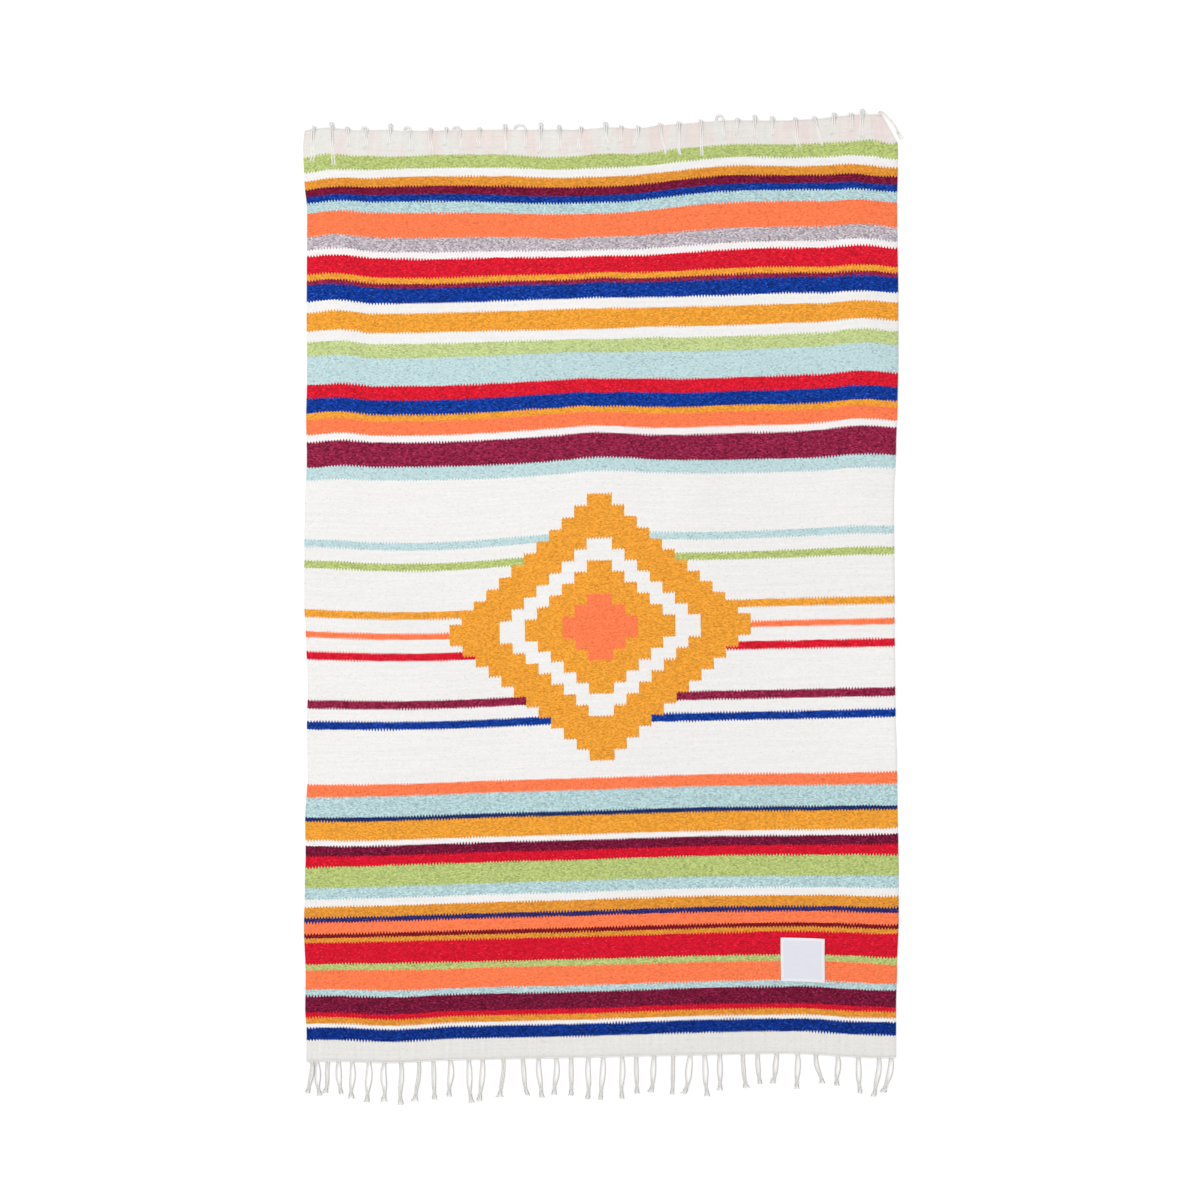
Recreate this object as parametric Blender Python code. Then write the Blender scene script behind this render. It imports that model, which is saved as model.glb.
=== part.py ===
"""A striped serape blanket with knotted fringe at both ends, lying flat with its face up.

Sizes below are in millimetres and the meshes are made in metres, with +Z up. The cloth's length
runs along +Y from its foot to its head. The origin is on the floor, under the middle of the
outline.
"""

import math
import random
from typing import NamedTuple

import bmesh
import bpy
from mathutils import Vector

METRES = 0.001
ACROSS = Vector((1, 0, 0))
SMOOTH_UP_TO = math.radians(40)

# The cloth, as woven. Its length is measured over the twined edge at each end.
CLOTH_WIDTH = 1220.0
TWINED_LENGTH = 1925.0
EDGE_DEPTH = 3.2
CLOTH_WALL = 2.4
SEAM_GAP = 0.3
HALF_WIDTH = CLOTH_WIDTH / 2
CLOTH_FOOT = EDGE_DEPTH + SEAM_GAP
CLOTH_HEAD = TWINED_LENGTH - CLOTH_FOOT

# The wefts climb from the left selvedge to the right one
WEFT_SLOPE = 0.0205

# The wall's cells. Its columns crowd towards the right.
COLUMNS = 35
ROWS = 32
ROW_DEPTH = (CLOTH_HEAD - CLOTH_FOOT) / ROWS
CROWDING = 27.0

# The label
LABEL_SIDE = 90.0
LABEL_WALL = 1.0
LABEL_ACROSS = 415.0
LABEL_ALONG = 194.0
LABEL_SLOPE = -0.04
LABEL_LEAN = -0.03
LABEL_CELLS = 3

# The twined edge that each fringe grows from
EDGE_LOW = 0.3
EDGE_HIGH = 2.1

# The fringe: each tassel is two strands side by side
STRAND_WIDTH = 3.4
STRAND_BESIDE = 1.95
FLOOR_CLEARANCE = 0.5
FACE_CLEARANCE = 0.8
FOOT_BOW = (0.5, 3.5)
FOOT_SPLAY = (0.5, 3.0)
FOOT_SEED = 100
KNOTTED_REACH = 5.0
LOOSE_ROOT = 574.5


class Fold(NamedTuple):
    """A soft ridge or hollow of the cloth. It pulls the wefts along and lifts them off the floor."""

    across: float
    reach_across: float
    along: float
    reach_along: float
    pull: float
    lift: float


FOLDS = {
    "left edge ridge": Fold(-545, 75, 1500, 560, 7.0, 7.0),
    "centre ridge": Fold(10, 110, 1300, 330, 4.0, 8.0),
    "right edge ridge": Fold(535, 85, 1480, 560, 6.5, 9.0),
    "left swag": Fold(-360, 340, 1080, 640, -15.0, 0.0),
    "right swag": Fold(260, 260, 1270, 420, -7.0, 0.0),
    "left shoulder": Fold(-500, 440, 1760, 200, 14.0, 0.0),
    "right shoulder": Fold(380, 340, 1800, 300, 19.0, 0.0),
    "head sag": Fold(-95, 110, 1890, 150, -6.0, 0.0),
    "field crease": Fold(195, 70, 1190, 240, 0.0, 4.0),
    "head crease": Fold(-300, 90, 1640, 230, 0.0, 3.5),
    "foot crease": Fold(-180, 95, 330, 210, 0.0, 3.0),
    "left foot": Fold(-590, 200, 60, 220, 3.0, 0.0),
    "right foot": Fold(640, 240, 0, 420, -14.0, 0.0),
    "left head corner": Fold(-590, 125, 1925, 62, 9.5, 0.0),
    "left head edge": Fold(-455, 60, 1925, 62, 3.5, 0.0),
    "middle head edge": Fold(-105, 75, 1925, 62, 3.5, 0.0),
    "middle head dip": Fold(75, 45, 1925, 62, -3.5, 0.0),
    "right head dip": Fold(375, 130, 1925, 62, -6.0, 0.0),
    "right head edge": Fold(500, 60, 1925, 62, 2.5, 0.0),
    "right head corner": Fold(590, 110, 1925, 62, 10.0, 0.0),
    "left foot edge": Fold(-440, 125, 0, 62, -3.5, 0.0),
    "right foot edge": Fold(490, 150, 0, 62, -3.0, 0.0),
}


class Selvedge(NamedTuple):
    """How far in from a straight edge the two selvedges lie at one place along the cloth."""

    along: float
    left_in: float
    right_in: float


SELVEDGES = (
    Selvedge(0, 0.5, -0.5),
    Selvedge(60, 1.0, -0.5),
    Selvedge(110, -2.0, -0.5),
    Selvedge(180, -1.0, -2.5),
    Selvedge(280, -4.5, -6.0),
    Selvedge(380, -2.5, -6.0),
    Selvedge(430, -1.0, -5.0),
    Selvedge(500, -2.0, -3.5),
    Selvedge(600, 3.0, -2.5),
    Selvedge(700, 1.5, 0.5),
    Selvedge(780, 3.5, 1.5),
    Selvedge(900, -1.0, 2.5),
    Selvedge(950, -4.0, 2.5),
    Selvedge(1140, -3.5, 4.0),
    Selvedge(1260, 1.5, -0.5),
    Selvedge(1340, 0.0, -3.5),
    Selvedge(1430, 2.0, -5.0),
    Selvedge(1550, 1.0, -5.0),
    Selvedge(1750, 2.0, -2.5),
    Selvedge(1820, -4.0, -4.0),
    Selvedge(1890, -6.5, -4.0),
    Selvedge(1925, -4.0, -3.5),
)

# How far each corner of the head falls short, over the outermost column of cells
LEFT_CORNER_DROP = 4.0
RIGHT_CORNER_DROP = 58.0
RIGHT_CORNER_WIDTH = 33.0


class FootTassel(NamedTuple):
    """A foot tassel: its root's place from the middle, its end's swing right, and its length."""

    root: float
    lean: float
    length: float


FOOT_TASSELS = (
    FootTassel(-598, -9, 64),
    FootTassel(-588, 7, 69),
    FootTassel(-565, -6, 64),
    FootTassel(-543, 6, 66),
    FootTassel(-515, -2, 75),
    FootTassel(-480, -4, 81),
    FootTassel(-448, -2, 79),
    FootTassel(-414, 0, 86),
    FootTassel(-377, -8, 81),
    FootTassel(-347, 3, 79),
    FootTassel(-312, -2, 74),
    FootTassel(-274, 7, 88),
    FootTassel(-245, -7, 85),
    FootTassel(-202, -8, 78),
    FootTassel(-162, 10, 75),
    FootTassel(-129, 6, 80),
    FootTassel(-93, -4, 75),
    FootTassel(-62, 0, 77),
    FootTassel(-26, -2, 85),
    FootTassel(4, -5, 87),
    FootTassel(43, 1, 86),
    FootTassel(73, 1, 76),
    FootTassel(110, -7, 74),
    FootTassel(149, -2, 79),
    FootTassel(185, -13, 79),
    FootTassel(214, 7, 84),
    FootTassel(246, 0, 73),
    FootTassel(293, 8, 69),
    FootTassel(324, 5, 61),
    FootTassel(364, -10, 60),
    FootTassel(407, -2, 71),
    FootTassel(445, 14, 58),
    FootTassel(490, -2, 60),
    FootTassel(532, 5, 73),
    FootTassel(575, -10, 79),
    FootTassel(600, -17, 71),
)


class FootRing(NamedTuple):
    """One section of a strand of the foot fringe, at a share of its length from the cloth."""

    share: float
    width: float
    height: float
    beside: float
    bow: float
    splay: float


FOOT_RINGS = {
    "start": FootRing(0.17, 3.4, 2.6, 1.95, 0.7, 0.0),
    "bow": FootRing(0.40, 3.4, 2.6, 1.95, 1.0, 0.0),
    "close": FootRing(0.60, 3.2, 2.6, 1.90, 0.6, 0.0),
    "neck": FootRing(0.74, 3.0, 2.6, 1.75, 0.0, 0.0),
    "knot": FootRing(0.79, 3.8, 4.4, 2.10, 0.0, 0.0),
    "tail": FootRing(0.85, 3.0, 2.6, 1.75, 0.0, 0.0),
    "end": FootRing(1.00, 2.4, 1.8, 1.50, 0.0, 1.0),
}


class HeadTassel(NamedTuple):
    """A head tassel, which turns over onto the face.

    It has its root's place from the middle, its turn's reach past the edge, the width of the arch
    that it makes on its way (none where it folds straight over), its end's swing, and its length.
    """

    root: float
    reach: float
    arch: float
    lean: float
    length: float


HEAD_TASSELS = (
    HeadTassel(-595, 4.5, 0, -2, 69),
    HeadTassel(-558, 9.5, 0, 7, 81),
    HeadTassel(-525, 2.6, 0, 4, 38),
    HeadTassel(-494, 4.5, 10, -3, 42),
    HeadTassel(-436, 10.5, 0, -4, 34),
    HeadTassel(-407, 5.5, 12, 3, 46),
    HeadTassel(-353, 3.6, 0, 2, 52),
    HeadTassel(-321, 4.4, 0, -3, 36),
    HeadTassel(-306, 5.5, 14, 4, 44),
    HeadTassel(-252, 2.8, 0, -2, 40),
    HeadTassel(-199, 8.5, 0, 3, 50),
    HeadTassel(-179, 8.5, 22, 2, 38),
    HeadTassel(-125, 11.5, 0, -1, 48),
    HeadTassel(-87, 5.5, 0, 5, 42),
    HeadTassel(-42, 3.5, 0, -5, 45),
    HeadTassel(9, 8.5, 0, 8, 47),
    HeadTassel(41, 2.6, 0, -2, 32),
    HeadTassel(76, 2.6, 0, -6, 44),
    HeadTassel(121, 3.0, 0, 13, 63),
    HeadTassel(160, 2.6, 0, 3, 67),
    HeadTassel(206, 2.6, 0, 4, 74),
    HeadTassel(238, 10.5, 14, 4, 40),
    HeadTassel(282, 2.6, 0, -3, 36),
    HeadTassel(318, 8.5, 0, -2, 44),
    HeadTassel(354, 5.5, 0, 3, 38),
    HeadTassel(401, 2.8, 0, 7, 70),
    HeadTassel(441, 3.0, 0, 17, 64),
    HeadTassel(482, 6.0, 0, -3, 40),
    HeadTassel(517, 2.6, 0, 2, 34),
    HeadTassel(540, 8.5, 0, -2, 46),
)


class FoldRing(NamedTuple):
    """One section of a strand that folds straight over. Its bulk is added where it is knotted."""

    reach: float
    up: float
    width: float
    height: float
    bulk: float


FOLD_RINGS = {
    "out": FoldRing(0.70, 1.5, 3.4, 2.2, 0.0),
    "turn": FoldRing(1.00, 4.0, 3.6, 2.6, 0.8),
    "back": FoldRing(0.50, 6.4, 3.4, 2.2, 0.3),
}


class ArchRing(NamedTuple):
    """One section of a strand that arches over sideways, as shares of the reach and the arch."""

    reach: float
    arch: float
    up: float


ARCH_RINGS = {
    "start": ArchRing(0.50, 0.06, 1.5),
    "climb": ArchRing(0.88, 0.26, 2.4),
    "top": ArchRing(1.00, 0.50, 3.6),
    "turn down": ArchRing(0.88, 0.74, 4.8),
    "back": ArchRing(0.45, 0.94, 5.6),
}
ARCH_WIDTH = 2.4
ARCH_HEIGHT = 2.2
ARCH_BESIDE = 1.35


class FaceRing(NamedTuple):
    """One section of a strand that lies on the face, at a share of its length."""

    share: float
    width: float
    height: float


FACE_RINGS = {
    "touch": FaceRing(0.40, 3.2, 2.2),
    "lie": FaceRing(0.75, 3.2, 2.2),
    "end": FaceRing(1.00, 2.4, 1.6),
}


class LooseRing(NamedTuple):
    """One section of the last head tassel, which hangs loose past the slanted corner."""

    sideways: float
    outwards: float
    beside: float
    width: float
    height: float


LOOSE_RINGS = {
    "out": LooseRing(1.5, 3.5, 1.35, 2.4, 2.2),
    "turn": LooseRing(9.5, 2.0, 1.35, 2.4, 2.2),
    "curve": LooseRing(20.5, -10.0, 1.95, 3.0, 2.4),
    "down": LooseRing(33.5, -25.5, 1.95, 3.0, 2.4),
    "knot": LooseRing(39.5, -38.5, 2.10, 3.8, 4.0),
    "end": LooseRing(47.5, -53.0, 3.60, 2.4, 1.8),
}


def clear_scene():
    for thing in list(bpy.data.objects):
        bpy.data.objects.remove(thing, do_unlink=True)


def soft(distance):
    """A smooth hump: 1 at distance 0, and exactly 0 from distance 1 on."""
    return max(0.0, 1.0 - distance * distance) ** 2


def fold_sum(across, along, column):
    """What all the folds together add at one place, of their pull or of their lift."""
    return sum(
        getattr(fold, column)
        * soft((across - fold.across) / fold.reach_across)
        * soft((along - fold.along) / fold.reach_along)
        for fold in FOLDS.values()
    )


def selvedges_at(along):
    """The two selvedges' distances in, eased between the rows of their table."""
    for before, after in zip(SELVEDGES, SELVEDGES[1:]):
        if along <= after.along:
            share = (along - before.along) / (after.along - before.along)
            ease = share * share * (3 - 2 * share)
            left = before.left_in + (after.left_in - before.left_in) * ease
            right = before.right_in + (after.right_in - before.right_in) * ease
            return left, right
    return SELVEDGES[-1].left_in, SELVEDGES[-1].right_in


def across_line(number):
    """Where the numbered line between two columns of cells lies across the cloth."""
    if number == COLUMNS - 1:
        return HALF_WIDTH - RIGHT_CORNER_WIDTH
    place = 2 * number / COLUMNS - 1
    return HALF_WIDTH * place + CROWDING * (1 - place**4)


def corner_drop(across, along):
    """How far a point of the head's last row falls short where a corner is worn away."""
    share = max(0.0, (along - CLOTH_HEAD) / ROW_DEPTH + 1)
    left_start, left_end = across_line(1), across_line(0)
    right_start, right_end = across_line(COLUMNS - 1), across_line(COLUMNS)
    left = max(0.0, (across - left_start) / (left_end - left_start))
    right = max(0.0, (across - right_start) / (right_end - right_start))
    return share * (left * LEFT_CORNER_DROP + right * RIGHT_CORNER_DROP)


def cloth_point(across, along, above=0.0):
    """A point at a height above the cloth's underside, as the cloth lies on the floor."""
    left_in, right_in = selvedges_at(along)
    share = across / CLOTH_WIDTH + 0.5
    pull = fold_sum(across, along, "pull") - fold_sum(0.0, along, "pull")
    x = across + left_in * (1 - share) - right_in * share
    y = along - corner_drop(across, along) + WEFT_SLOPE * across + pull
    return Vector((x, y, fold_sum(across, along, "lift") + above))


def make_object(name, shape, colour, roughness):
    """One closed mesh as an object with its own material. The shape is in millimetres."""
    bmesh.ops.recalc_face_normals(shape, faces=shape.faces)
    bmesh.ops.scale(shape, vec=(METRES, METRES, METRES), verts=shape.verts)
    mesh = bpy.data.meshes.new(name)
    shape.to_mesh(mesh)
    shape.free()
    mesh.shade_smooth()
    mesh.set_sharp_from_angle(angle=SMOOTH_UP_TO)
    material = bpy.data.materials.new(name)
    material.use_nodes = True
    finish = material.node_tree.nodes["Principled BSDF"]
    finish.inputs["Base Color"].default_value = (*colour, 1.0)
    finish.inputs["Roughness"].default_value = roughness
    finish.inputs["Metallic"].default_value = 0.0
    mesh.materials.append(material)
    made = bpy.data.objects.new(name, mesh)
    bpy.context.scene.collection.objects.link(made)
    return made


def cloth_wall(across_lines, along_lines, low, high, slope=0.0, lean=0.0):
    """A closed wall over the cloth's own points, between two heights above its underside.

    Its rows may slope, and its columns lean, against those of the cloth.
    """
    shape = bmesh.new()
    middle_across = (across_lines[0] + across_lines[-1]) / 2
    middle_along = (along_lines[0] + along_lines[-1]) / 2

    def corner(a, b, above):
        leant = a + lean * (b - middle_along)
        sloped = b + slope * (a - middle_across)
        return shape.verts.new(cloth_point(leant, sloped, above))

    layers = [
        [[corner(a, b, above) for b in along_lines] for a in across_lines]
        for above in (low, high)
    ]
    columns, rows = len(across_lines) - 1, len(along_lines) - 1
    for layer in layers:
        for i in range(columns):
            for j in range(rows):
                shape.faces.new(
                    (layer[i][j], layer[i + 1][j], layer[i + 1][j + 1], layer[i][j + 1])
                )
    rim = [(i, 0) for i in range(columns)]
    rim += [(columns, j) for j in range(rows)]
    rim += [(i, rows) for i in range(columns, 0, -1)]
    rim += [(0, j) for j in range(rows, 0, -1)]
    bottom, top = layers
    for (i, j), (k, m) in zip(rim, rim[1:] + rim[:1]):
        shape.faces.new((bottom[i][j], bottom[k][m], top[k][m], top[i][j]))
    return shape


def make_panel():
    across_lines = [across_line(number) for number in range(COLUMNS + 1)]
    along_lines = [CLOTH_FOOT + ROW_DEPTH * row for row in range(ROWS + 1)]
    return make_object(
        "woven_panel",
        cloth_wall(across_lines, along_lines, 0.0, CLOTH_WALL),
        colour=(0.78, 0.74, 0.70),
        roughness=0.92,
    )


def make_label():
    steps = [LABEL_SIDE * (step / LABEL_CELLS - 0.5) for step in range(LABEL_CELLS + 1)]
    low = CLOTH_WALL + SEAM_GAP
    return make_object(
        "sewn_label",
        cloth_wall(
            [LABEL_ACROSS + step for step in steps],
            [LABEL_ALONG + step for step in steps],
            low,
            low + LABEL_WALL,
            LABEL_SLOPE,
            LABEL_LEAN,
        ),
        colour=(0.88, 0.87, 0.85),
        roughness=0.6,
    )


class Section(NamedTuple):
    """A strand's cross-section: its middle, the level direction across it, and its size."""

    middle: Vector
    wide: Vector
    width: float
    height: float


# Which side of the edge's four-sided section faces away from the cloth
OUTER_SIDE = 2


class Edge:
    """One twined edge of the cloth, with the quads on its outer side that strands grow from."""

    def __init__(self, along, outwards):
        self.shape = bmesh.new()
        self.outwards = outwards
        self.corners = [cloth_point(across_line(n), along) for n in range(COLUMNS + 1)]
        self.roots = {}

    def point_at(self, x):
        """The point of the wall's own edge that lies straight out from one place."""
        for left, right in zip(self.corners, self.corners[1:]):
            if x <= right.x:
                return left.lerp(right, (x - left.x) / (right.x - left.x))
        return self.corners[-1]

    def section(self, point):
        """Four corners of the edge's cross-section: inner low, inner high, outer high, outer low."""
        inner = point.y + self.outwards * SEAM_GAP
        outer = inner + self.outwards * EDGE_DEPTH
        places = ((inner, EDGE_LOW), (inner, EDGE_HIGH), (outer, EDGE_HIGH), (outer, EDGE_LOW))
        return [self.shape.verts.new((point.x, y, point.z + up)) for y, up in places]

    def build(self, roots):
        """Sweeps the edge along the cloth, leaving both strands' roots open at each place given.

        A corner of the wall's edge that falls within a root is left out, so that a root is one
        quad.
        """
        half = STRAND_WIDTH / 2
        stations = {}
        for root in roots:
            for side in (-1, 1):
                middle = root + side * STRAND_BESIDE
                stations[middle - half] = (root, side)
                stations[middle + half] = None
        taken = sorted(stations)
        for corner in self.corners:
            if all(abs(corner.x - place) > half for place in taken):
                stations[corner.x] = None
        places = sorted(stations)
        sections = [self.section(self.point_at(place)) for place in places]
        for place, left, right in zip(places, sections, sections[1:]):
            for i in range(4):
                j = (i + 1) % 4
                if stations[place] and i == OUTER_SIDE:
                    self.roots[stations[place]] = (left[j], right[j], right[i], left[i])
                    continue
                self.shape.faces.new((left[i], right[i], right[j], left[j]))
        self.shape.faces.new(sections[0])
        self.shape.faces.new(sections[-1])

    def outer_point(self, root):
        """The middle of a tassel's root, on the edge's outer side and as low as the cloth."""
        middle = self.point_at(root)
        return Vector((middle.x, middle.y + self.outwards * (SEAM_GAP + EDGE_DEPTH), middle.z))

    def grow(self, root, side, sections):
        """Extrudes one strand from its root through its sections, and closes its end."""
        up = (EDGE_LOW + EDGE_HIGH) / 2
        start = self.outer_point(root) + Vector((side * STRAND_BESIDE, 0, up))
        middles = [start, *(section.middle for section in sections)]
        middles.append(middles[-1])
        before = self.roots[root, side]
        for number, section in enumerate(sections):
            ahead = middles[number + 2] - middles[number]
            thick = section.wide.cross(ahead).normalized() * self.outwards
            ring = [
                self.shape.verts.new(
                    section.middle
                    + section.wide * (a * section.width / 2)
                    + thick * (b * section.height / 2)
                )
                for a, b in ((-1, -1), (1, -1), (1, 1), (-1, 1))
            ]
            for i in range(4):
                j = (i + 1) % 4
                self.shape.faces.new((before[i], before[j], ring[j], ring[i]))
            before = ring
        self.shape.faces.new(before)


def make_foot_fringe():
    edge = Edge(CLOTH_FOOT, -1)
    edge.build([tassel.root for tassel in FOOT_TASSELS])
    for number, tassel in enumerate(FOOT_TASSELS):
        chance = random.Random(FOOT_SEED + number)
        bow = chance.uniform(*FOOT_BOW)
        splay = chance.uniform(*FOOT_SPLAY)
        root = edge.outer_point(tassel.root)
        for side in (-1, 1):
            sections = []
            for ring in FOOT_RINGS.values():
                beside = ring.beside + ring.bow * bow + ring.splay * splay
                x = root.x + side * beside + tassel.lean * ring.share**2
                y = root.y - tassel.length * ring.share
                z = FLOOR_CLEARANCE + ring.height / 2
                sections.append(Section(Vector((x, y, z)), ACROSS, ring.width, ring.height))
            edge.grow(tassel.root, side, sections)
    return make_object("foot_fringe", edge.shape, colour=(0.80, 0.76, 0.70), roughness=0.95)


def level_across(places, number):
    """The level direction to the right of the way that a line of places runs at one of them."""
    ahead = places[number + 1] - places[number - 1]
    return Vector((ahead.y, -ahead.x, 0)).normalized()


def fold_sections(root, tassel, side):
    """A strand's sections where it folds straight over."""
    bulk = 1.0 if tassel.reach > KNOTTED_REACH else 0.0
    sections = []
    for ring in FOLD_RINGS.values():
        thicker = bulk * ring.bulk
        x = root.x + side * (STRAND_BESIDE + thicker / 2)
        middle = Vector((x, root.y + tassel.reach * ring.reach, root.z + ring.up))
        sections.append(Section(middle, ACROSS, ring.width + thicker, ring.height + thicker))
    return sections


def arch_sections(root, tassel, side):
    """A strand's sections where it arches over sideways."""
    rings = list(ARCH_RINGS.values())
    places = [
        root + Vector((tassel.arch * ring.arch, tassel.reach * ring.reach, ring.up))
        for ring in rings
    ]
    line = [root, *places, root + Vector((tassel.arch, -tassel.reach, rings[-1].up))]
    sections = []
    for number, place in enumerate(places, start=1):
        wide = level_across(line, number)
        middle = place + wide * (side * ARCH_BESIDE)
        sections.append(Section(middle, wide, ARCH_WIDTH, ARCH_HEIGHT))
    return sections


def face_sections(root, tassel, side):
    """A strand's sections on the face, from the cloth's own points."""
    turned = -1 if tassel.arch else 1
    sections = []
    for ring in FACE_RINGS.values():
        x = root.x + tassel.arch + tassel.lean * ring.share
        above = CLOTH_WALL + FACE_CLEARANCE + ring.height / 2
        middle = cloth_point(x, TWINED_LENGTH - tassel.length * ring.share, above)
        middle.x = x + turned * side * STRAND_BESIDE
        sections.append(Section(middle, turned * ACROSS, ring.width, ring.height))
    return sections


def loose_sections(root, side):
    """One strand of the last head tassel, whose way bends round past the slanted corner."""
    rings = list(LOOSE_RINGS.values())
    places = [Vector((root.x + ring.sideways, root.y + ring.outwards, 0)) for ring in rings]
    line = [Vector((root.x, root.y, 0)), *places, places[-1]]
    sections = []
    for number, (place, ring) in enumerate(zip(places, rings), start=1):
        wide = level_across(line, number)
        middle = place + wide * (side * ring.beside)
        middle.z = FLOOR_CLEARANCE + ring.height / 2
        sections.append(Section(middle, wide, ring.width, ring.height))
    return sections


def make_head_fringe():
    edge = Edge(CLOTH_HEAD, 1)
    edge.build([*(tassel.root for tassel in HEAD_TASSELS), LOOSE_ROOT])
    for tassel in HEAD_TASSELS:
        root = edge.outer_point(tassel.root)
        turn_sections = arch_sections if tassel.arch else fold_sections
        for side in (-1, 1):
            sections = turn_sections(root, tassel, side) + face_sections(root, tassel, side)
            edge.grow(tassel.root, side, sections)
    for side in (-1, 1):
        edge.grow(LOOSE_ROOT, side, loose_sections(edge.outer_point(LOOSE_ROOT), side))
    return make_object("head_fringe", edge.shape, colour=(0.80, 0.76, 0.70), roughness=0.95)


def centre_on_floor(pieces):
    """Moves the meshes so that the origin is under the middle of their joint outline."""
    points = [vertex.co for piece in pieces for vertex in piece.data.vertices]
    lowest = [min(point[axis] for point in points) for axis in range(3)]
    highest = [max(point[axis] for point in points) for axis in range(3)]
    shift = Vector(
        (-(lowest[0] + highest[0]) / 2, -(lowest[1] + highest[1]) / 2, -lowest[2])
    )
    for piece in pieces:
        for vertex in piece.data.vertices:
            vertex.co += shift


def main():
    clear_scene()
    centre_on_floor([make_panel(), make_foot_fringe(), make_head_fringe(), make_label()])


main()
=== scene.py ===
import math
import random
from collections import namedtuple

import bpy
import numpy as np
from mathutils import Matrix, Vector


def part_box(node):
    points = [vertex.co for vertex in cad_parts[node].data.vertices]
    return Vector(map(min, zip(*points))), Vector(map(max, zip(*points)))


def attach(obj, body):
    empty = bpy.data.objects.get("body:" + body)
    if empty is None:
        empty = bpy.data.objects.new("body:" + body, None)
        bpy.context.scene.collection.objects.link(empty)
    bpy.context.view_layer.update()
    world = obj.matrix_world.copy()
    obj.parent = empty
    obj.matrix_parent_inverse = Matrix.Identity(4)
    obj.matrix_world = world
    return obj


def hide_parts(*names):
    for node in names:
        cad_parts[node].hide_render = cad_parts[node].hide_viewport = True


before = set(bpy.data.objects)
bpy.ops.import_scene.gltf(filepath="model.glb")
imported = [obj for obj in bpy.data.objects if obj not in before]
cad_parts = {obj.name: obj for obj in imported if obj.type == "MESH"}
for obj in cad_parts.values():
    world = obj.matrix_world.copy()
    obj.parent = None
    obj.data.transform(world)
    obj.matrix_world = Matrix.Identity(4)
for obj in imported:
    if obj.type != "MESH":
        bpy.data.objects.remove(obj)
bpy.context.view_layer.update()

# Sizes are in millimetres, in the cloth's own plan: across from its middle line, and along from
# its foot. Points turn into metres in the model's frame when a mesh is made.
METRES = 0.001

# The cloth, as woven. Its length is measured over the twined edge at each end.
CLOTH_WIDTH = 1220.0
TWINED_LENGTH = 1925.0
EDGE_DEPTH = 3.2
SEAM_GAP = 0.3
CLOTH_WALL = 2.4
HALF_WIDTH = CLOTH_WIDTH / 2
CLOTH_FOOT = EDGE_DEPTH + SEAM_GAP
CLOTH_HEAD = TWINED_LENGTH - CLOTH_FOOT
WEFT_SLOPE = 0.0205

# The solid wall's cells
COLUMNS = 35
ROWS = 32
ROW_DEPTH = (CLOTH_HEAD - CLOTH_FOOT) / ROWS
CROWDING = 27.0

# The finer grid of the shell that is seen
FINE_COLUMNS = 160
FINE_ROWS = 256
RIM_ROUND = 0.9

# The yarns' spacing
PICK = 2.0
TOOTH = 6.2
TOOTH_DEPTH = 4.4
DASH = 4.0

# The label
LABEL_SIDE = 90.0
LABEL_WALL = 1.0
LABEL_ACROSS = 415.0
LABEL_ALONG = 194.0
LABEL_SLOPE = -0.04
LABEL_LEAN = -0.03

# The strands of the fringe
STRAND_BESIDE = 1.95
FOOT_BOW = (0.5, 3.5)
FOOT_SPLAY = (0.5, 3.0)
FOOT_SEED = 100
HEAD_SEED = 200
KNOTTED_REACH = 5.0
LOOSE_ROOT = 574.5

# The photograph's frame, and the place in it of the cloth's foot at its middle line
IMAGE_SIDE = 1200
MM_PER_PIXEL = 2.0695
FOOT_PIXEL = (601.0, 1057.5)


def table(columns, *rows):
    """A table's rows, as records whose fields are its columns."""
    record = namedtuple("record", columns)
    return tuple(record(*row) for row in rows)


# A weft's colour and that of its flecks, in eight-bit screen values, the share of short dashes that
# are flecks, how strong its patches are, and how much its lightness changes from dash to dash
Yarn = namedtuple("Yarn", "colour fleck flecked mottled grain")

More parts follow.
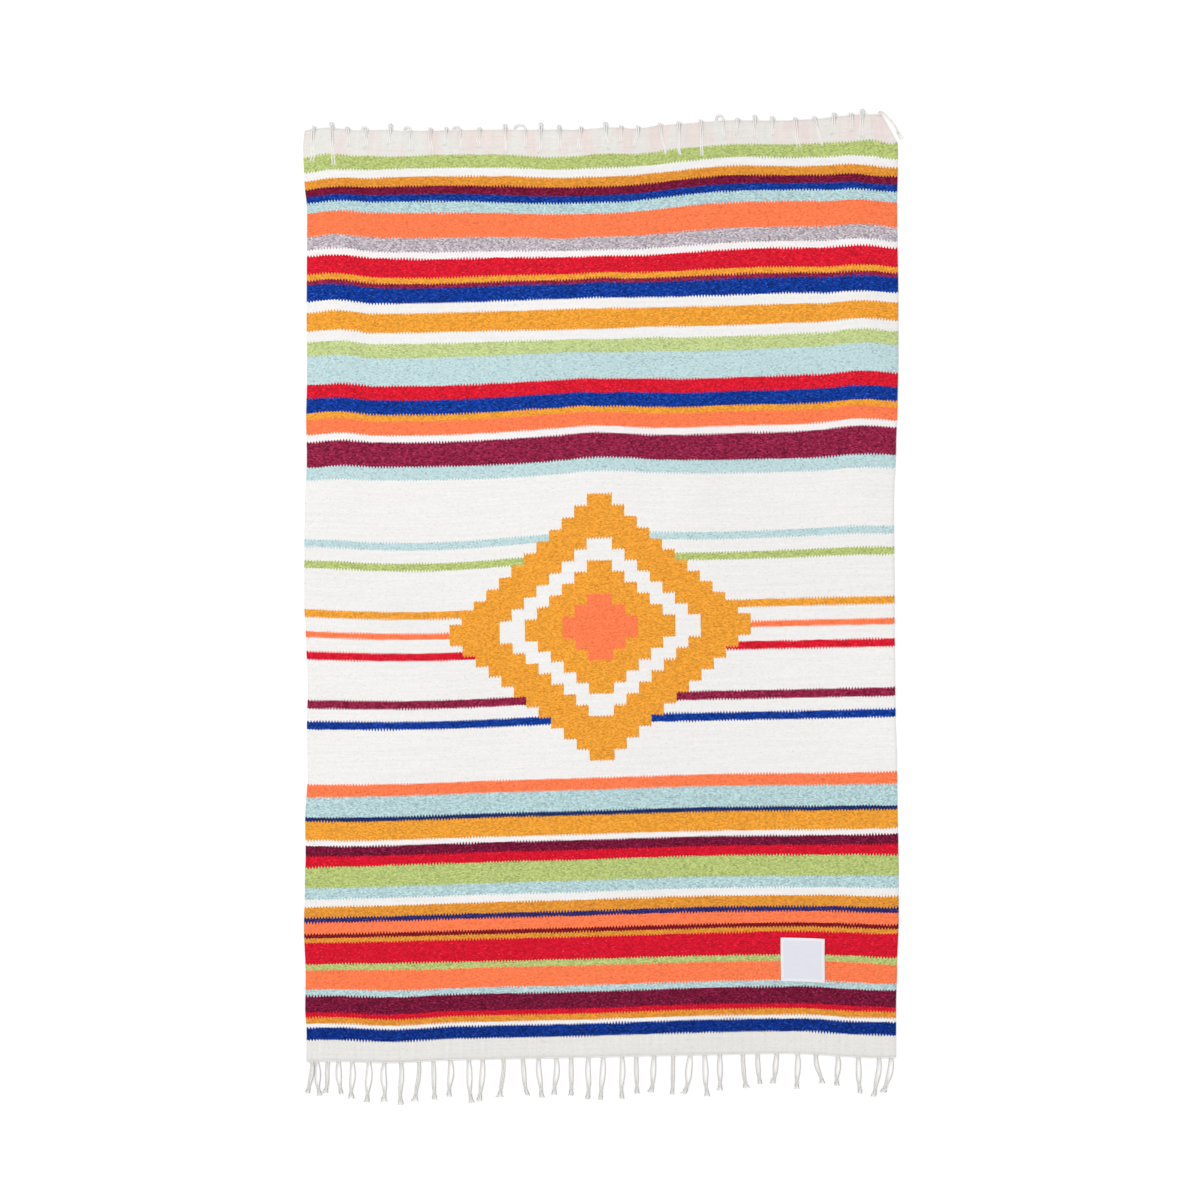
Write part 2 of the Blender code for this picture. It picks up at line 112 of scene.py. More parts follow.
YARNS = {
    "natural": Yarn((222, 220, 215), (206, 202, 197), 0.02, 0.10, 0.06),
    "ecru": Yarn((224, 222, 218), (208, 205, 200), 0.02, 0.10, 0.06),
    "white": Yarn((233, 231, 229), (218, 215, 212), 0.03, 0.10, 0.07),
    "bright_white": Yarn((236, 232, 232), (222, 218, 216), 0.03, 0.10, 0.07),
    "green": Yarn((181, 195, 120), (134, 152, 84), 0.16, 0.35, 0.42),
    "light_green": Yarn((192, 206, 142), (142, 162, 98), 0.16, 0.35, 0.32),
    "gold": Yarn((233, 158, 55), (204, 124, 40), 0.14, 0.35, 0.40),
    "amber": Yarn((221, 146, 54), (190, 112, 38), 0.14, 0.35, 0.40),
    "burgundy": Yarn((131, 27, 59), (160, 52, 88), 0.16, 0.35, 1.05),
    "plum": Yarn((105, 14, 47), (136, 38, 70), 0.16, 0.35, 1.05),
    "blue": Yarn((4, 48, 137), (44, 82, 166), 0.14, 0.30, 1.05),
    "deep_blue": Yarn((3, 40, 121), (34, 68, 144), 0.14, 0.30, 1.15),
    "aqua": Yarn((189, 213, 215), (142, 174, 180), 0.16, 0.35, 0.20),
    "cool_aqua": Yarn((182, 208, 210), (132, 166, 173), 0.18, 0.35, 0.38),
    "orange": Yarn((247, 124, 79), (228, 100, 60), 0.16, 0.30, 0.26),
    "grey": Yarn((202, 193, 198), (130, 117, 130), 0.34, 0.75, 0.50),
    "red": Yarn((207, 20, 43), (222, 58, 70), 0.04, 0.20, 0.62),
    "crimson": Yarn((203, 14, 41), (220, 56, 70), 0.04, 0.20, 0.50),
    "dusk_blue": Yarn((20, 38, 88), (52, 70, 120), 0.12, 0.35, 0.60),
    "navy": Yarn((36, 32, 92), (78, 72, 130), 0.12, 0.35, 0.60),
    "wine": Yarn((113, 11, 26), (150, 48, 58), 0.12, 0.30, 0.50),
}

# The bands of weft, from the head to the foot, and how wide each is along the cloth
BANDS = table(
    "yarn width",
    ("natural", 55.5), ("green", 29.5), ("white", 18), ("amber", 20.5), ("plum", 17.5),
    ("blue", 15), ("cool_aqua", 22.5), ("orange", 49), ("grey", 27), ("bright_white", 13),
    ("red", 35.5), ("gold", 11), ("burgundy", 9), ("blue", 30.5), ("white", 20.5), ("gold", 38),
    ("white", 22), ("light_green", 28), ("aqua", 55), ("red", 28.5), ("blue", 28.5), ("gold", 12.5),
    ("orange", 30), ("bright_white", 14), ("burgundy", 55), ("aqua", 27.5), ("white", 635),
    ("orange", 22.5), ("cool_aqua", 45), ("dusk_blue", 7.5), ("gold", 40), ("bright_white", 11.5),
    ("plum", 20.5), ("crimson", 20.5), ("green", 43.5), ("cool_aqua", 23), ("white", 16),
    ("amber", 22.5), ("navy", 10.5), ("orange", 24.5), ("wine", 9), ("amber", 9.5), ("crimson", 47),
    ("green", 13), ("orange", 41), ("cool_aqua", 13), ("plum", 34.5), ("crimson", 10.5),
    ("amber", 13), ("white", 8), ("deep_blue", 26), ("ecru", 45),
)
BANDS_A_RAMP = 6


# Thin lines of weft across the white field, above or below the medallion's middle
FIELD_LINES = table(
    "yarn above width",
    ("aqua", 190, 16), ("green", 146, 16), ("gold", 44, 16), ("orange", 0, 13), ("red", -44, 17),
    ("burgundy", -146, 18), ("blue", -190, 17),
)

# The stepped medallion on the white field, its widest ring first
MEDALLION_ALONG = 891.0
STEP_ACROSS = 26.0
STEP_ALONG = 23.0
MEDALLION_RINGS = table(
    "yarn steps",
    ("gold", 12), ("white", 8), ("gold", 6), ("orange", 3),
)

# Places where the bands run a little off the cloth's own plan, nearer its head or foot
DRIFTS = table(
    "across reach_across along reach_along shift",
    (-600, 330, 1815, 90, -6.5), (-400, 200, 1715, 80, -4), (-350, 170, 1630, 90, -4),
    (-620, 110, 1620, 110, 5), (-160, 200, 1830, 60, 2), (190, 190, 1780, 130, 5),
    (400, 130, 1830, 70, -5), (600, 130, 1750, 90, 4), (0, 60, 1620, 60, 3),
    (550, 150, 1580, 90, -4.5), (20, 90, 1440, 150, -4.5), (380, 220, 1470, 110, 2.5),
    (280, 130, 1340, 110, 4), (560, 140, 1370, 110, -3), (-380, 240, 1225, 110, 5),
    (-600, 110, 1270, 110, -4), (520, 240, 1225, 80, -5.5), (-470, 260, 560, 120, -3),
    (230, 260, 570, 120, 2.5), (-560, 420, 380, 220, -4.5), (210, 300, 370, 220, 3.5),
    (600, 120, 330, 140, -3.5), (-430, 130, 95, 110, -5), (250, 320, 110, 150, 3.5),
    (-560, 50, 1872, 40, 4.5), (-410, 70, 1872, 30, -3), (80, 60, 1872, 35, -3.5),
    (370, 110, 1872, 25, -3.5), (552, 45, 1872, 40, 5.5), (620, 32, 1868, 40, -2),
    (50, 100, 1310, 70, -3), (-60, 170, 1505, 45, -3), (-100, 120, 1825, 45, 2.5),
    (560, 50, 1790, 60, -3), (-560, 60, 1410, 70, -2.5), (-610, 40, 1490, 60, 3.5),
    (600, 60, 190, 50, -3.5), (580, 80, 80, 60, 2.5), (-340, 80, 175, 40, -2.5),
    (570, 90, 362, 35, 2.5), (400, 150, 1700, 60, -2), (-610, 50, 1825, 50, -2.5),
    (-590, 90, 460, 90, 2.5), (-610, 70, 391, 30, -4), (600, 80, 391, 30, -3.5),
    (-600, 130, 536, 25, -2.5), (600, 60, 525, 35, -3.5), (360, 240, 250, 40, 2.2),
    (540, 170, 1300, 50, 2), (-90, 240, 1525, 35, -2.2), (0, 45, 1365, 50, -2.2),
    (-85, 60, 1705, 45, -2.5), (440, 170, 1635, 55, -1.8),
)

# Soft ridges and hollows, which pull the wefts along and lift them off the floor
FOLDS = table(
    "across reach_across along reach_along pull lift",
    (-545, 75, 1500, 560, 7, 7), (10, 110, 1300, 330, 4, 8), (535, 85, 1480, 560, 6.5, 9),
    (-360, 340, 1080, 640, -15, 0), (260, 260, 1270, 420, -7, 0), (-500, 440, 1760, 200, 14, 0),
    (380, 340, 1800, 300, 19, 0), (-95, 110, 1890, 150, -6, 0), (195, 70, 1190, 240, 0, 4),
    (-300, 90, 1640, 230, 0, 3.5), (-180, 95, 330, 210, 0, 3), (-590, 200, 60, 220, 3, 0),
    (640, 240, 0, 420, -14, 0), (-590, 125, 1925, 62, 9.5, 0), (-455, 60, 1925, 62, 3.5, 0),
    (-105, 75, 1925, 62, 3.5, 0), (75, 45, 1925, 62, -3.5, 0), (375, 130, 1925, 62, -6, 0),
    (500, 60, 1925, 62, 2.5, 0), (590, 110, 1925, 62, 10, 0), (-440, 125, 0, 62, -3.5, 0),
    (490, 150, 0, 62, -3, 0),
)

# Small soft ridges in the shell, each turned by so many degrees
CREASES = table(
    "across along half_length half_width turn rise",
    (-470, 1690, 150, 26, 84, 1.3), (-215, 1780, 120, 30, 96, 1), (90, 1720, 170, 28, 88, 1.4),
    (330, 1640, 200, 34, 92, 1.6), (455, 1330, 160, 26, 86, 1.1), (-120, 1480, 190, 32, 94, 1.3),
    (-420, 1250, 140, 28, 80, 1), (120, 1010, 150, 30, 97, 0.9), (-520, 860, 120, 34, 102, 0.9),
    (400, 740, 180, 30, 88, 1.1), (-300, 610, 130, 26, 93, 0.8), (520, 430, 150, 32, 83, 1),
    (60, 290, 140, 34, 99, 0.9), (-470, 210, 120, 28, 90, 0.8), (240, 120, 90, 26, 95, 0.7),
)

# How far in from a straight edge the two selvedges are, along the cloth
SELVEDGES = table(
    "along left_in right_in",
    (0, 0.5, -0.5), (60, 1, -0.5), (110, -2, -0.5), (180, -1, -2.5), (280, -4.5, -6),
    (380, -2.5, -6), (430, -1, -5), (500, -2, -3.5), (600, 3, -2.5), (700, 1.5, 0.5),
    (780, 3.5, 1.5), (900, -1, 2.5), (950, -4, 2.5), (1140, -3.5, 4), (1260, 1.5, -0.5),
    (1340, 0, -3.5), (1430, 2, -5), (1550, 1, -5), (1750, 2, -2.5), (1820, -4, -4),
    (1890, -6.5, -4), (1925, -4, -3.5),
)
LEFT_CORNER_DROP = 4.0
RIGHT_CORNER_DROP = 58.0
RIGHT_CORNER_WIDTH = 33.0


def soft(distance):
    """A smooth hump: 1 at distance 0, and exactly 0 from distance 1 on."""
    return np.maximum(0.0, 1.0 - distance * distance) ** 2


def hump_sum(rows, column, across, along):
    """What a table's soft humps together add at each place, by one of its columns."""
    return sum(
        getattr(row, column)
        * soft((across - row.across) / row.reach_across)
        * soft((along - row.along) / row.reach_along)
        for row in rows
    )


def unit(vectors):
    """Vectors made 1 long."""
    return vectors / np.linalg.norm(vectors, axis=-1, keepdims=True)


def crease_rise(across, along):
    """How far the small creases lift the cloth at each place."""
    rise = 0.0
    for crease in CREASES:
        turn = math.radians(crease.turn)
        x, y = across - crease.across, along - crease.along
        lengthways = (x * math.cos(turn) + y * math.sin(turn)) / crease.half_length
        sideways = (y * math.cos(turn) - x * math.sin(turn)) / crease.half_width
        rise = rise + crease.rise * soft(lengthways) * soft(sideways)
    return rise


def selvedges_at(along):
    """How far in the two selvedges are, eased between the rows of their table."""
    places = np.array([row.along for row in SELVEDGES], float)
    row = np.clip(np.searchsorted(places, along, side="left") - 1, 0, len(places) - 2)
    share = np.clip((along - places[row]) / (places[row + 1] - places[row]), 0.0, 1.0)
    ease = share * share * (3 - 2 * share)
    sides = []
    for column in ("left_in", "right_in"):
        values = np.array([getattr(row, column) for row in SELVEDGES], float)
        sides.append(values[row] + (values[row + 1] - values[row]) * ease)
    return sides


def across_line(number):
    """Where the numbered line between two columns of the solid wall lies."""
    if number == COLUMNS - 1:
        return HALF_WIDTH - RIGHT_CORNER_WIDTH
    place = 2 * number / COLUMNS - 1
    return HALF_WIDTH * place + CROWDING * (1 - place**4)


def corner_drop(across, along):
    """How far the head falls short where a corner is worn away."""
    share = np.maximum(0.0, (along - CLOTH_HEAD) / ROW_DEPTH + 1)
    left_start, left_end = across_line(1), across_line(0)
    right_start, right_end = across_line(COLUMNS - 1), across_line(COLUMNS)
    left = np.maximum(0.0, (across - left_start) / (left_end - left_start))
    right = np.maximum(0.0, (across - right_start) / (right_end - right_start))
    return share * (left * LEFT_CORNER_DROP + right * RIGHT_CORNER_DROP)


def cloth_points(across, along, above=0.0, creased=True):
    """Points this far above the cloth's underside, as an array with x, y and z last."""
    across, along = np.broadcast_arrays(np.asarray(across, float), np.asarray(along, float))
    left_in, right_in = selvedges_at(along)
    share = across / CLOTH_WIDTH + 0.5
    pull = hump_sum(FOLDS, "pull", across, along) - hump_sum(FOLDS, "pull", 0 * across, along)
    x = across + left_in * (1 - share) - right_in * share
    y = along - corner_drop(across, along) + WEFT_SLOPE * across + pull
    z = hump_sum(FOLDS, "lift", across, along) + above
    if creased:
        z = z + crease_rise(across, along)
    return np.stack([x, y, z], axis=-1)


def frame_shift():
    """How far the cloth's plan lies from the model's frame, found from the solid wall."""
    columns = np.array([across_line(number) for number in range(COLUMNS + 1)])
    rows = CLOTH_FOOT + ROW_DEPTH * np.arange(ROWS + 1)
    wall = cloth_points(columns[:, None], rows[None, :], creased=False).reshape(-1, 3)
    lowest = np.array(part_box("woven_panel")[0]) / METRES
    return lowest - wall.min(axis=0)


SHIFT = frame_shift()


def in_frame(points):
    """Millimetres in the cloth's plan, as metres in the model's frame."""
    return (np.asarray(points, float) + SHIFT) * METRES


# A direction that no yarn starts along
ASKEW = (0.3, 0.2, 0.9)


class Shape:
    """Vertices, faces and cloth coordinates gathered into one mesh."""

    def __init__(self):
        self.points = []
        self.faces = []
        self.places = []
        self.count = 0

    def add(self, points, faces, places=None):
        """Adds points, faces that count from them, and the points' places on the cloth."""
        points = np.asarray(points, float).reshape(-1, 3)
        self.points.append(points)
        self.faces.append(np.asarray(faces, np.int64) + self.count)
        self.places.append(points[:, :2] if places is None else np.asarray(places, float))
        self.count += len(points)

    def add_tubes(self, paths, radii, sides, places=None):
        """Adds closed round tubes that follow paths with the same number of points."""
        paths = np.asarray(paths, float)
        tubes, steps, _ = paths.shape
        ahead = unit(np.gradient(paths, axis=1))
        wide = np.cross(ahead[:, 0], ASKEW)
        rings = np.empty((tubes, steps, sides, 3))
        turns = (2 * math.pi * np.arange(sides) / sides)[:, None]
        radii = np.broadcast_to(radii, (tubes, steps))
        for step in range(steps):
            along = np.sum(wide * ahead[:, step], axis=1, keepdims=True)
            wide = unit(wide - ahead[:, step] * along)
            thick = np.cross(ahead[:, step], wide)
            out = np.cos(turns) * wide[:, None] + np.sin(turns) * thick[:, None]
            rings[:, step] = paths[:, step, None] + radii[:, step, None, None] * out
        rows = np.arange(steps - 1)[:, None] * sides
        first = rows + np.arange(sides)
        second = rows + (np.arange(sides) + 1) % sides
        skin = np.stack([first, second, second + sides, first + sides], axis=-1).reshape(-1, 4)
        fan = np.arange(1, sides - 1)
        start_cap = np.stack([0 * fan, fan + 1, fan, fan], axis=-1)
        end_cap = (steps - 1) * sides + np.stack([0 * fan, fan, fan + 1, fan + 1], axis=-1)
        one = np.concatenate([skin, start_cap, end_cap])
        every = one[None] + (np.arange(tubes) * steps * sides)[:, None, None]
        if places is not None:
            places = np.repeat(np.asarray(places, float).reshape(-1, 2), sides, axis=0)
        self.add(rings.reshape(-1, 3), every.reshape(-1, 4), places)

    def build(self, name, material):
        """The gathered mesh as a smooth-shaded object with one material."""
        points = in_frame(np.concatenate(self.points))
        faces = np.concatenate(self.faces)
        places = np.concatenate(self.places)
        corners = [tuple(dict.fromkeys(face)) for face in faces.tolist()]
        mesh = bpy.data.meshes.new(name)
        mesh.from_pydata(points.tolist(), [], corners)
        layer = mesh.uv_layers.new(name="cloth")
        order = np.empty(len(mesh.loops), np.int64)
        mesh.loops.foreach_get("vertex_index", order)
        layer.data.foreach_set("uv", places[order].astype(np.float32).ravel())
        mesh.shade_smooth()
        mesh.materials.append(material)
        return put_in_scene(name, mesh)


def put_in_scene(name, data):
    """A new object in the scene, made of a mesh, a camera or a lamp."""
    made = bpy.data.objects.new(name, data)
    bpy.context.scene.collection.objects.link(made)
    return made


def linear(colour):
    """An eight-bit screen colour in a shader's linear values."""
    shares = [value / 255 for value in colour]
    return [s / 12.92 if s <= 0.04045 else ((s + 0.055) / 1.055) ** 2.4 for s in shares]


# Smooth noises: the size of their patches across and along, and how finely they break up
NOISES = {
    "wander": (26.0, 9.0, 1.0),
    "bite": (60.0, 12.0, 0.0),
    "mottle": (4.5, 2.4, 2.0),
    "streaks": (160.0, 5.0, 2.0),
    "clouds": (420.0, 380.0, 1.0),
    "warps": (9.0, 260.0, 3.0),
    "rosy": (40.0, 110.0, 1.0),
    "nap": (1.6, 0.8, 3.0),
    "fuzz": (0.5, 2.4, 3.0),
    "tint": (4.0, 45.0, 1.0),
    "tape": (30.0, 1.2, 2.0),
    "thread": (0.8, 0.8, 1.0),
}
FLAT = {"noise_dimensions": "2D"}


class Graph:
    """A material's nodes, with short ways to add more."""

    def __init__(self, name, roughness, sheen=0.0, specular=0.06):
        self.material = bpy.data.materials.new(name)
        self.material.use_nodes = True
        self.tree = self.material.node_tree
        self.shader = self.tree.nodes["Principled BSDF"]
        looks = {"Roughness": roughness, "Specular IOR Level": specular}
        looks.update({"Sheen Weight": sheen, "Sheen Roughness": 0.6})
        for name, value in looks.items():
            self.shader.inputs[name].default_value = value

    def put(self, socket, value):
        """Links a socket, or sets its own value."""
        if isinstance(value, bpy.types.NodeSocket):
            self.tree.links.new(value, socket)
        elif socket.type == "RGBA":
            socket.default_value = (*value, 1.0)
        else:
            socket.default_value = value

    def node(self, kind, settings=None, **values):
        """One node, with its settings and its sockets by name."""
        made = self.tree.nodes.new(kind)
        for name, value in (settings or {}).items():
            setattr(made, name, value)
        for name, value in values.items():
            self.put(made.inputs[name], value)
        return made

    def sum(self, operation, *values):
        """One arithmetic node over up to three values."""
        made = self.node("ShaderNodeMath", {"operation": operation})
        for socket, value in zip(made.inputs, values):
            self.put(socket, value)
        return made.outputs["Value"]

    def times(self, first, second):
        return self.sum("MULTIPLY", first, second)

    def times_and(self, first, second, added):
        return self.sum("MULTIPLY_ADD", first, second, added)

    def scaled(self, value, step):
        """A length, counted in steps of another."""
        return self.times_and(value, 1 / step, 0.0)

    def centred(self, value):
        """A value from 0 to 1, as one from -0.5 to 0.5."""
        return self.sum("SUBTRACT", value, 0.5)

    def rise(self, value, low, high, most):
        """0 up to a low value, then evenly up to the most at a high value."""
        ends = {"From Min": low, "From Max": high, "To Max": most}
        return self.node("ShaderNodeMapRange", Value=value, **ends).outputs["Result"]

    def mix(self, share, first, second, blend="MIX"):
        """Two colours mixed by a share of the second."""
        made = self.node("ShaderNodeMix", {"data_type": "RGBA", "blend_type": blend})
        self.put(made.inputs[0], share)
        self.put(made.inputs[6], first)
        self.put(made.inputs[7], second)
        return made.outputs[2]

    def blend(self, share, first, second):
        """Two values mixed by a share of the second."""
        made = self.node("ShaderNodeMix", {"data_type": "FLOAT"})
        self.put(made.inputs[0], share)
        self.put(made.inputs[2], first)
        self.put(made.inputs[3], second)
        return made.outputs[0]

    def place(self, across, along):
        return self.node("ShaderNodeCombineXYZ", X=across, Y=along).outputs["Vector"]

    def noise(self, across, along, name):
        """One of the smooth noises, from 0 to 1."""
        step_across, step_along, detail = NOISES[name]
        place = self.place(self.scaled(across, step_across), self.scaled(along, step_along))
        made = self.node("ShaderNodeTexNoise", FLAT, Vector=place, Scale=1.0, Detail=detail)
        return made.outputs["Fac"]

    def chance(self, across, along):
        """A fixed random value from 0 to 1 for each pair of numbers."""
        made = self.node("ShaderNodeTexWhiteNoise", FLAT, Vector=self.place(across, along))
        return made.outputs["Value"]

    def steps(self, factor, stops):
        """A ramp with hard steps. Its alpha carries a second value."""
        made = self.node("ShaderNodeValToRGB", Fac=factor)
        ramp = made.color_ramp
        ramp.interpolation = "CONSTANT"
        while len(ramp.elements) < len(stops):
            ramp.elements.new(0.5)
        for element, (at, _, _) in zip(ramp.elements, stops):
            element.position = at
        for element, (_, colour, alpha) in zip(ramp.elements, stops):
            element.color = (*colour, alpha)
        return made.outputs["Color"], made.outputs["Alpha"]

    def paint(self, colour):
        self.put(self.shader.inputs["Base Color"], colour)

    def bump(self, height, distance, strength):
        """The shader's relief. Its distance is how high a height of 1 is, in metres."""
        made = self.node("ShaderNodeBump", Height=height, Distance=distance, Strength=strength)
        self.put(self.shader.inputs["Normal"], made.outputs["Normal"])

    def cloth_place(self):
        """Where on the cloth a point is, across and along, in millimetres."""
        made = self.node("ShaderNodeUVMap", {"uv_map": "cloth"})
        split = self.node("ShaderNodeSeparateXYZ", Vector=made.outputs["UV"])
        return split.outputs["X"], split.outputs["Y"]


# How far the weave's borders between colours wander, in millimetres
WANDER_REACH = 2.6

# How far its dashes slide from pick to pick, and how strong its flecks are
DASH_SLIDE = 9.0
DASH_DRAW = 3.0
FLECK_LEAST = 0.25
FLECK_MORE = 0.5

# How strong its streaks, its broad clouds and its headings' upright warps are
STREAK_DEPTH = 0.10
CLOUD_DEPTH = 0.05
WARP_DEPTH = 0.12
ROSY_COLOUR = (226, 210, 206)

# How deep its ribs dip under a warp, and how rough its nap is
RIB_DIP = 0.45
NAP_DEPTH = 0.35


def lit(yarn):
    """A yarn with its colours in linear values."""
    return yarn._replace(colour=linear(yarn.colour), fleck=linear(yarn.fleck))


def laid_over(graph, mask, under, over):
    """One yarn laid over another wherever a mask is 1."""
    colours = [graph.mix(mask, a, b) for a, b in zip(under[:2], over[:2])]
    values = [graph.blend(mask, a, b) for a, b in zip(under[2:], over[2:])]
    return Yarn(*colours, *values)


def toothed_along(graph, across, along):
    """Places along the cloth, shifted so that colours' borders wander, and are toothed.

    The teeth are there because each pick passes over every other warp.
    """
    wander = graph.centred(graph.noise(across, along, "wander"))
    tooth = graph.centred(graph.sum("PINGPONG", graph.scaled(across, TOOTH / 2), 1.0))
    bite = graph.times(tooth, graph.times(graph.noise(across, along, "bite"), 2.0))
    edge = graph.times_and(bite, TOOTH_DEPTH, graph.times(wander, WANDER_REACH))
    return graph.sum("ADD", along, edge)


def banded_yarn(graph, toothed):
    """The yarn of the band at each place, a few bands to a ramp."""
    shown = lit(YARNS["natural"])._replace(flecked=0.0, mottled=0.0, grain=0.0)
    top = TWINED_LENGTH
    for first in range(0, len(BANDS), BANDS_A_RAMP):
        group = BANDS[first : first + BANDS_A_RAMP]
        bottom = top - sum(band.width for band in group)
        colours, flecks, grains = [], [], []
        at = bottom
        for band in reversed(group):
            yarn = lit(YARNS[band.yarn])
            share = (at - bottom) / (top - bottom)
            colours.append((share, yarn.colour, yarn.flecked))
            flecks.append((share, yarn.fleck, yarn.mottled))
            grains.append((share, (yarn.grain,) * 3, yarn.grain))
            at += band.width
        factor = graph.sum("DIVIDE", graph.sum("SUBTRACT", toothed, bottom), top - bottom)
        colour, flecked = graph.steps(factor, colours)
        fleck, mottled = graph.steps(factor, flecks)
        _, grain = graph.steps(factor, grains)
        inside = graph.sum("LESS_THAN", toothed, top)
        shown = laid_over(graph, inside, shown, Yarn(colour, fleck, flecked, mottled, grain))
        top = bottom
    return shown


def with_field(graph, across, toothed, shown):
    """The bands' yarn with the thin lines and the medallion laid over it."""
    from_middle = graph.sum("SUBTRACT", toothed, MEDALLION_ALONG)
    for line in FIELD_LINES:
        off = graph.sum("ABSOLUTE", graph.sum("SUBTRACT", from_middle, line.above))
        mask = graph.sum("LESS_THAN", off, line.width / 2)
        shown = laid_over(graph, mask, shown, lit(YARNS[line.yarn]))

    # Steps count from 1 both ways, so their sum is one more than a ring's own
    steps_across = graph.scaled(graph.sum("ABSOLUTE", across), STEP_ACROSS)
    steps_along = graph.scaled(graph.sum("ABSOLUTE", from_middle), STEP_ALONG)
    steps_out = graph.sum("ADD", graph.sum("CEIL", steps_across), graph.sum("CEIL", steps_along))
    for ring in MEDALLION_RINGS:
        mask = graph.sum("LESS_THAN", steps_out, ring.steps + 1.5)
        shown = laid_over(graph, mask, shown, lit(YARNS[ring.yarn]))
    return shown


def weave_material():
    """The weft-faced weave: its flecked and banded yarns, and its ribbed picks."""
    graph = Graph("striped_weave", roughness=0.95, sheen=0.04)
    across, along = graph.cloth_place()
    toothed = toothed_along(graph, across, along)
    shown = with_field(graph, across, toothed, banded_yarn(graph, toothed))

    # Flecks lie as short dashes along each pick
    pick = graph.sum("FLOOR", graph.sum("DIVIDE", along, PICK))
    slide = graph.times(graph.chance(pick, DASH_DRAW), DASH_SLIDE)
    dash = graph.sum("FLOOR", graph.times_and(across, 1 / DASH, slide))
    speck = graph.sum("LESS_THAN", graph.chance(dash, pick), shown.flecked)
    strength = graph.times_and(graph.chance(pick, dash), FLECK_MORE, FLECK_LEAST)
    colour = graph.mix(graph.times(speck, strength), shown.colour, shown.fleck)

    # Mottling and streaks along the wefts
    patches = graph.rise(graph.noise(across, along, "mottle"), low=0.42, high=0.68, most=0.8)
    colour = graph.mix(graph.times(patches, shown.mottled), colour, shown.fleck)
    tone = graph.noise(across, along, "streaks")
    tone = graph.times_and(tone, STREAK_DEPTH, 1 - STREAK_DEPTH / 2)
    clouds = graph.noise(across, along, "clouds")
    tone = graph.times(tone, graph.times_and(clouds, CLOUD_DEPTH, 1 - CLOUD_DEPTH / 2))
    lightness = graph.centred(graph.chance(graph.sum("ADD", dash, 0.5), pick))
    tone = graph.times_and(graph.times(lightness, shown.grain), tone, tone)

    # The headings show their warps as faint upright streaks, and the head's is rosy in places
    at_head = graph.sum("GREATER_THAN", toothed, TWINED_LENGTH - BANDS[0].width)
    rosy = graph.rise(graph.noise(across, along, "rosy"), low=0.40, high=0.64, most=0.75)
    colour = graph.mix(graph.times(rosy, at_head), colour, linear(ROSY_COLOUR))
    from_middle = graph.sum("ABSOLUTE", graph.sum("SUBTRACT", toothed, TWINED_LENGTH / 2))
    heading = graph.sum("GREATER_THAN", from_middle, TWINED_LENGTH / 2 - BANDS[-1].width)
    warps = graph.times(graph.centred(graph.noise(across, along, "warps")), WARP_DEPTH)
    tone = graph.times_and(graph.times(warps, heading), tone, tone)
    grey = graph.node("ShaderNodeCombineColor", Red=tone, Green=tone, Blue=tone)
    graph.paint(graph.mix(1.0, colour, grey.outputs["Color"], blend="MULTIPLY"))

    # Each pick is a rounded rib that dips under every other warp
    rib = graph.sum("PINGPONG", graph.scaled(along, PICK / 2), 1.0)
    warp = graph.sum("ADD", graph.scaled(across, TOOTH / 2), graph.sum("MODULO", pick, 2.0))
    dip = graph.sum("PINGPONG", warp, 1.0)
    height = graph.times(rib, graph.times_and(dip, RIB_DIP, 1 - RIB_DIP))
    height = graph.times_and(graph.noise(across, along, "nap"), NAP_DEPTH, height)
    graph.bump(height, distance=0.00045, strength=0.55)
    return graph.material


# The fringe yarn's colours, its fuzz, and the dark grey of the painted shade on its tassels' outer
# sides
YARN_PALE = (246, 245, 243)
YARN_WARM = (238, 235, 231)
YARN_FUZZY = (222, 217, 212)
YARN_SHADED = (124, 121, 120)
FUZZ_DEPTH = 0.25


def yarn_material():
    """Off-white warp yarn, fuzzy, with painted shade down the outer side of each tassel.

    Here a point's place says how far out on its tassel it is, which sets how much painted shade it
    gets, and how far along.
    """
    graph = Graph("warp_yarn", roughness=0.95, sheen=0.04)
    outer, run = graph.cloth_place()
    fuzz = graph.noise(outer, run, "fuzz")
    colour = graph.mix(graph.noise(outer, run, "tint"), linear(YARN_PALE), linear(YARN_WARM))
    colour = graph.mix(graph.times(fuzz, FUZZ_DEPTH), colour, linear(YARN_FUZZY))
    # Painted shade: points far out on a tassel's outer side, and the knots, are mixed toward the
    # dark grey
    shade = graph.rise(outer, low=0.5, high=1.0, most=0.85)
    graph.paint(graph.mix(shade, colour, linear(YARN_SHADED)))
    graph.bump(fuzz, distance=0.0003, strength=0.6)
    return graph.material


# The label's tape and hem
TAPE_PALE = (222, 223, 232)
TAPE_DIM = (213, 214, 224)
TAPE_DEPTH = 0.5
TAPE_RIB = 0.45
HEM_COLOUR = (238, 235, 238)
HEM_WIDTH = 4.0
HEM_EASE = 2.0
HEM_SHARE = 0.8


def label_material():
    """Close woven white tape with fine ribs and a brighter hem."""
    graph = Graph("label_cloth", roughness=0.55, sheen=0.03, specular=0.15)
    across, along = graph.cloth_place()
    rib = graph.sum("PINGPONG", graph.scaled(along, TAPE_RIB), 1.0)
    tape = graph.noise(across, along, "tape")
    colour = graph.mix(tape, linear(TAPE_PALE), linear(TAPE_DIM))
    out = graph.sum("MAXIMUM", graph.sum("ABSOLUTE", across), graph.sum("ABSOLUTE", along))
    turned = LABEL_SIDE / 2 - HEM_WIDTH
    hem = graph.rise(out, turned - HEM_EASE, turned, HEM_SHARE)
    graph.paint(graph.mix(hem, colour, linear(HEM_COLOUR)))
    graph.bump(graph.times_and(tape, TAPE_DEPTH, rib), distance=0.00012, strength=0.6)
    return graph.material


# The label's sewing thread
THREAD_PALE = (238, 235, 231)
THREAD_DIM = (222, 218, 213)


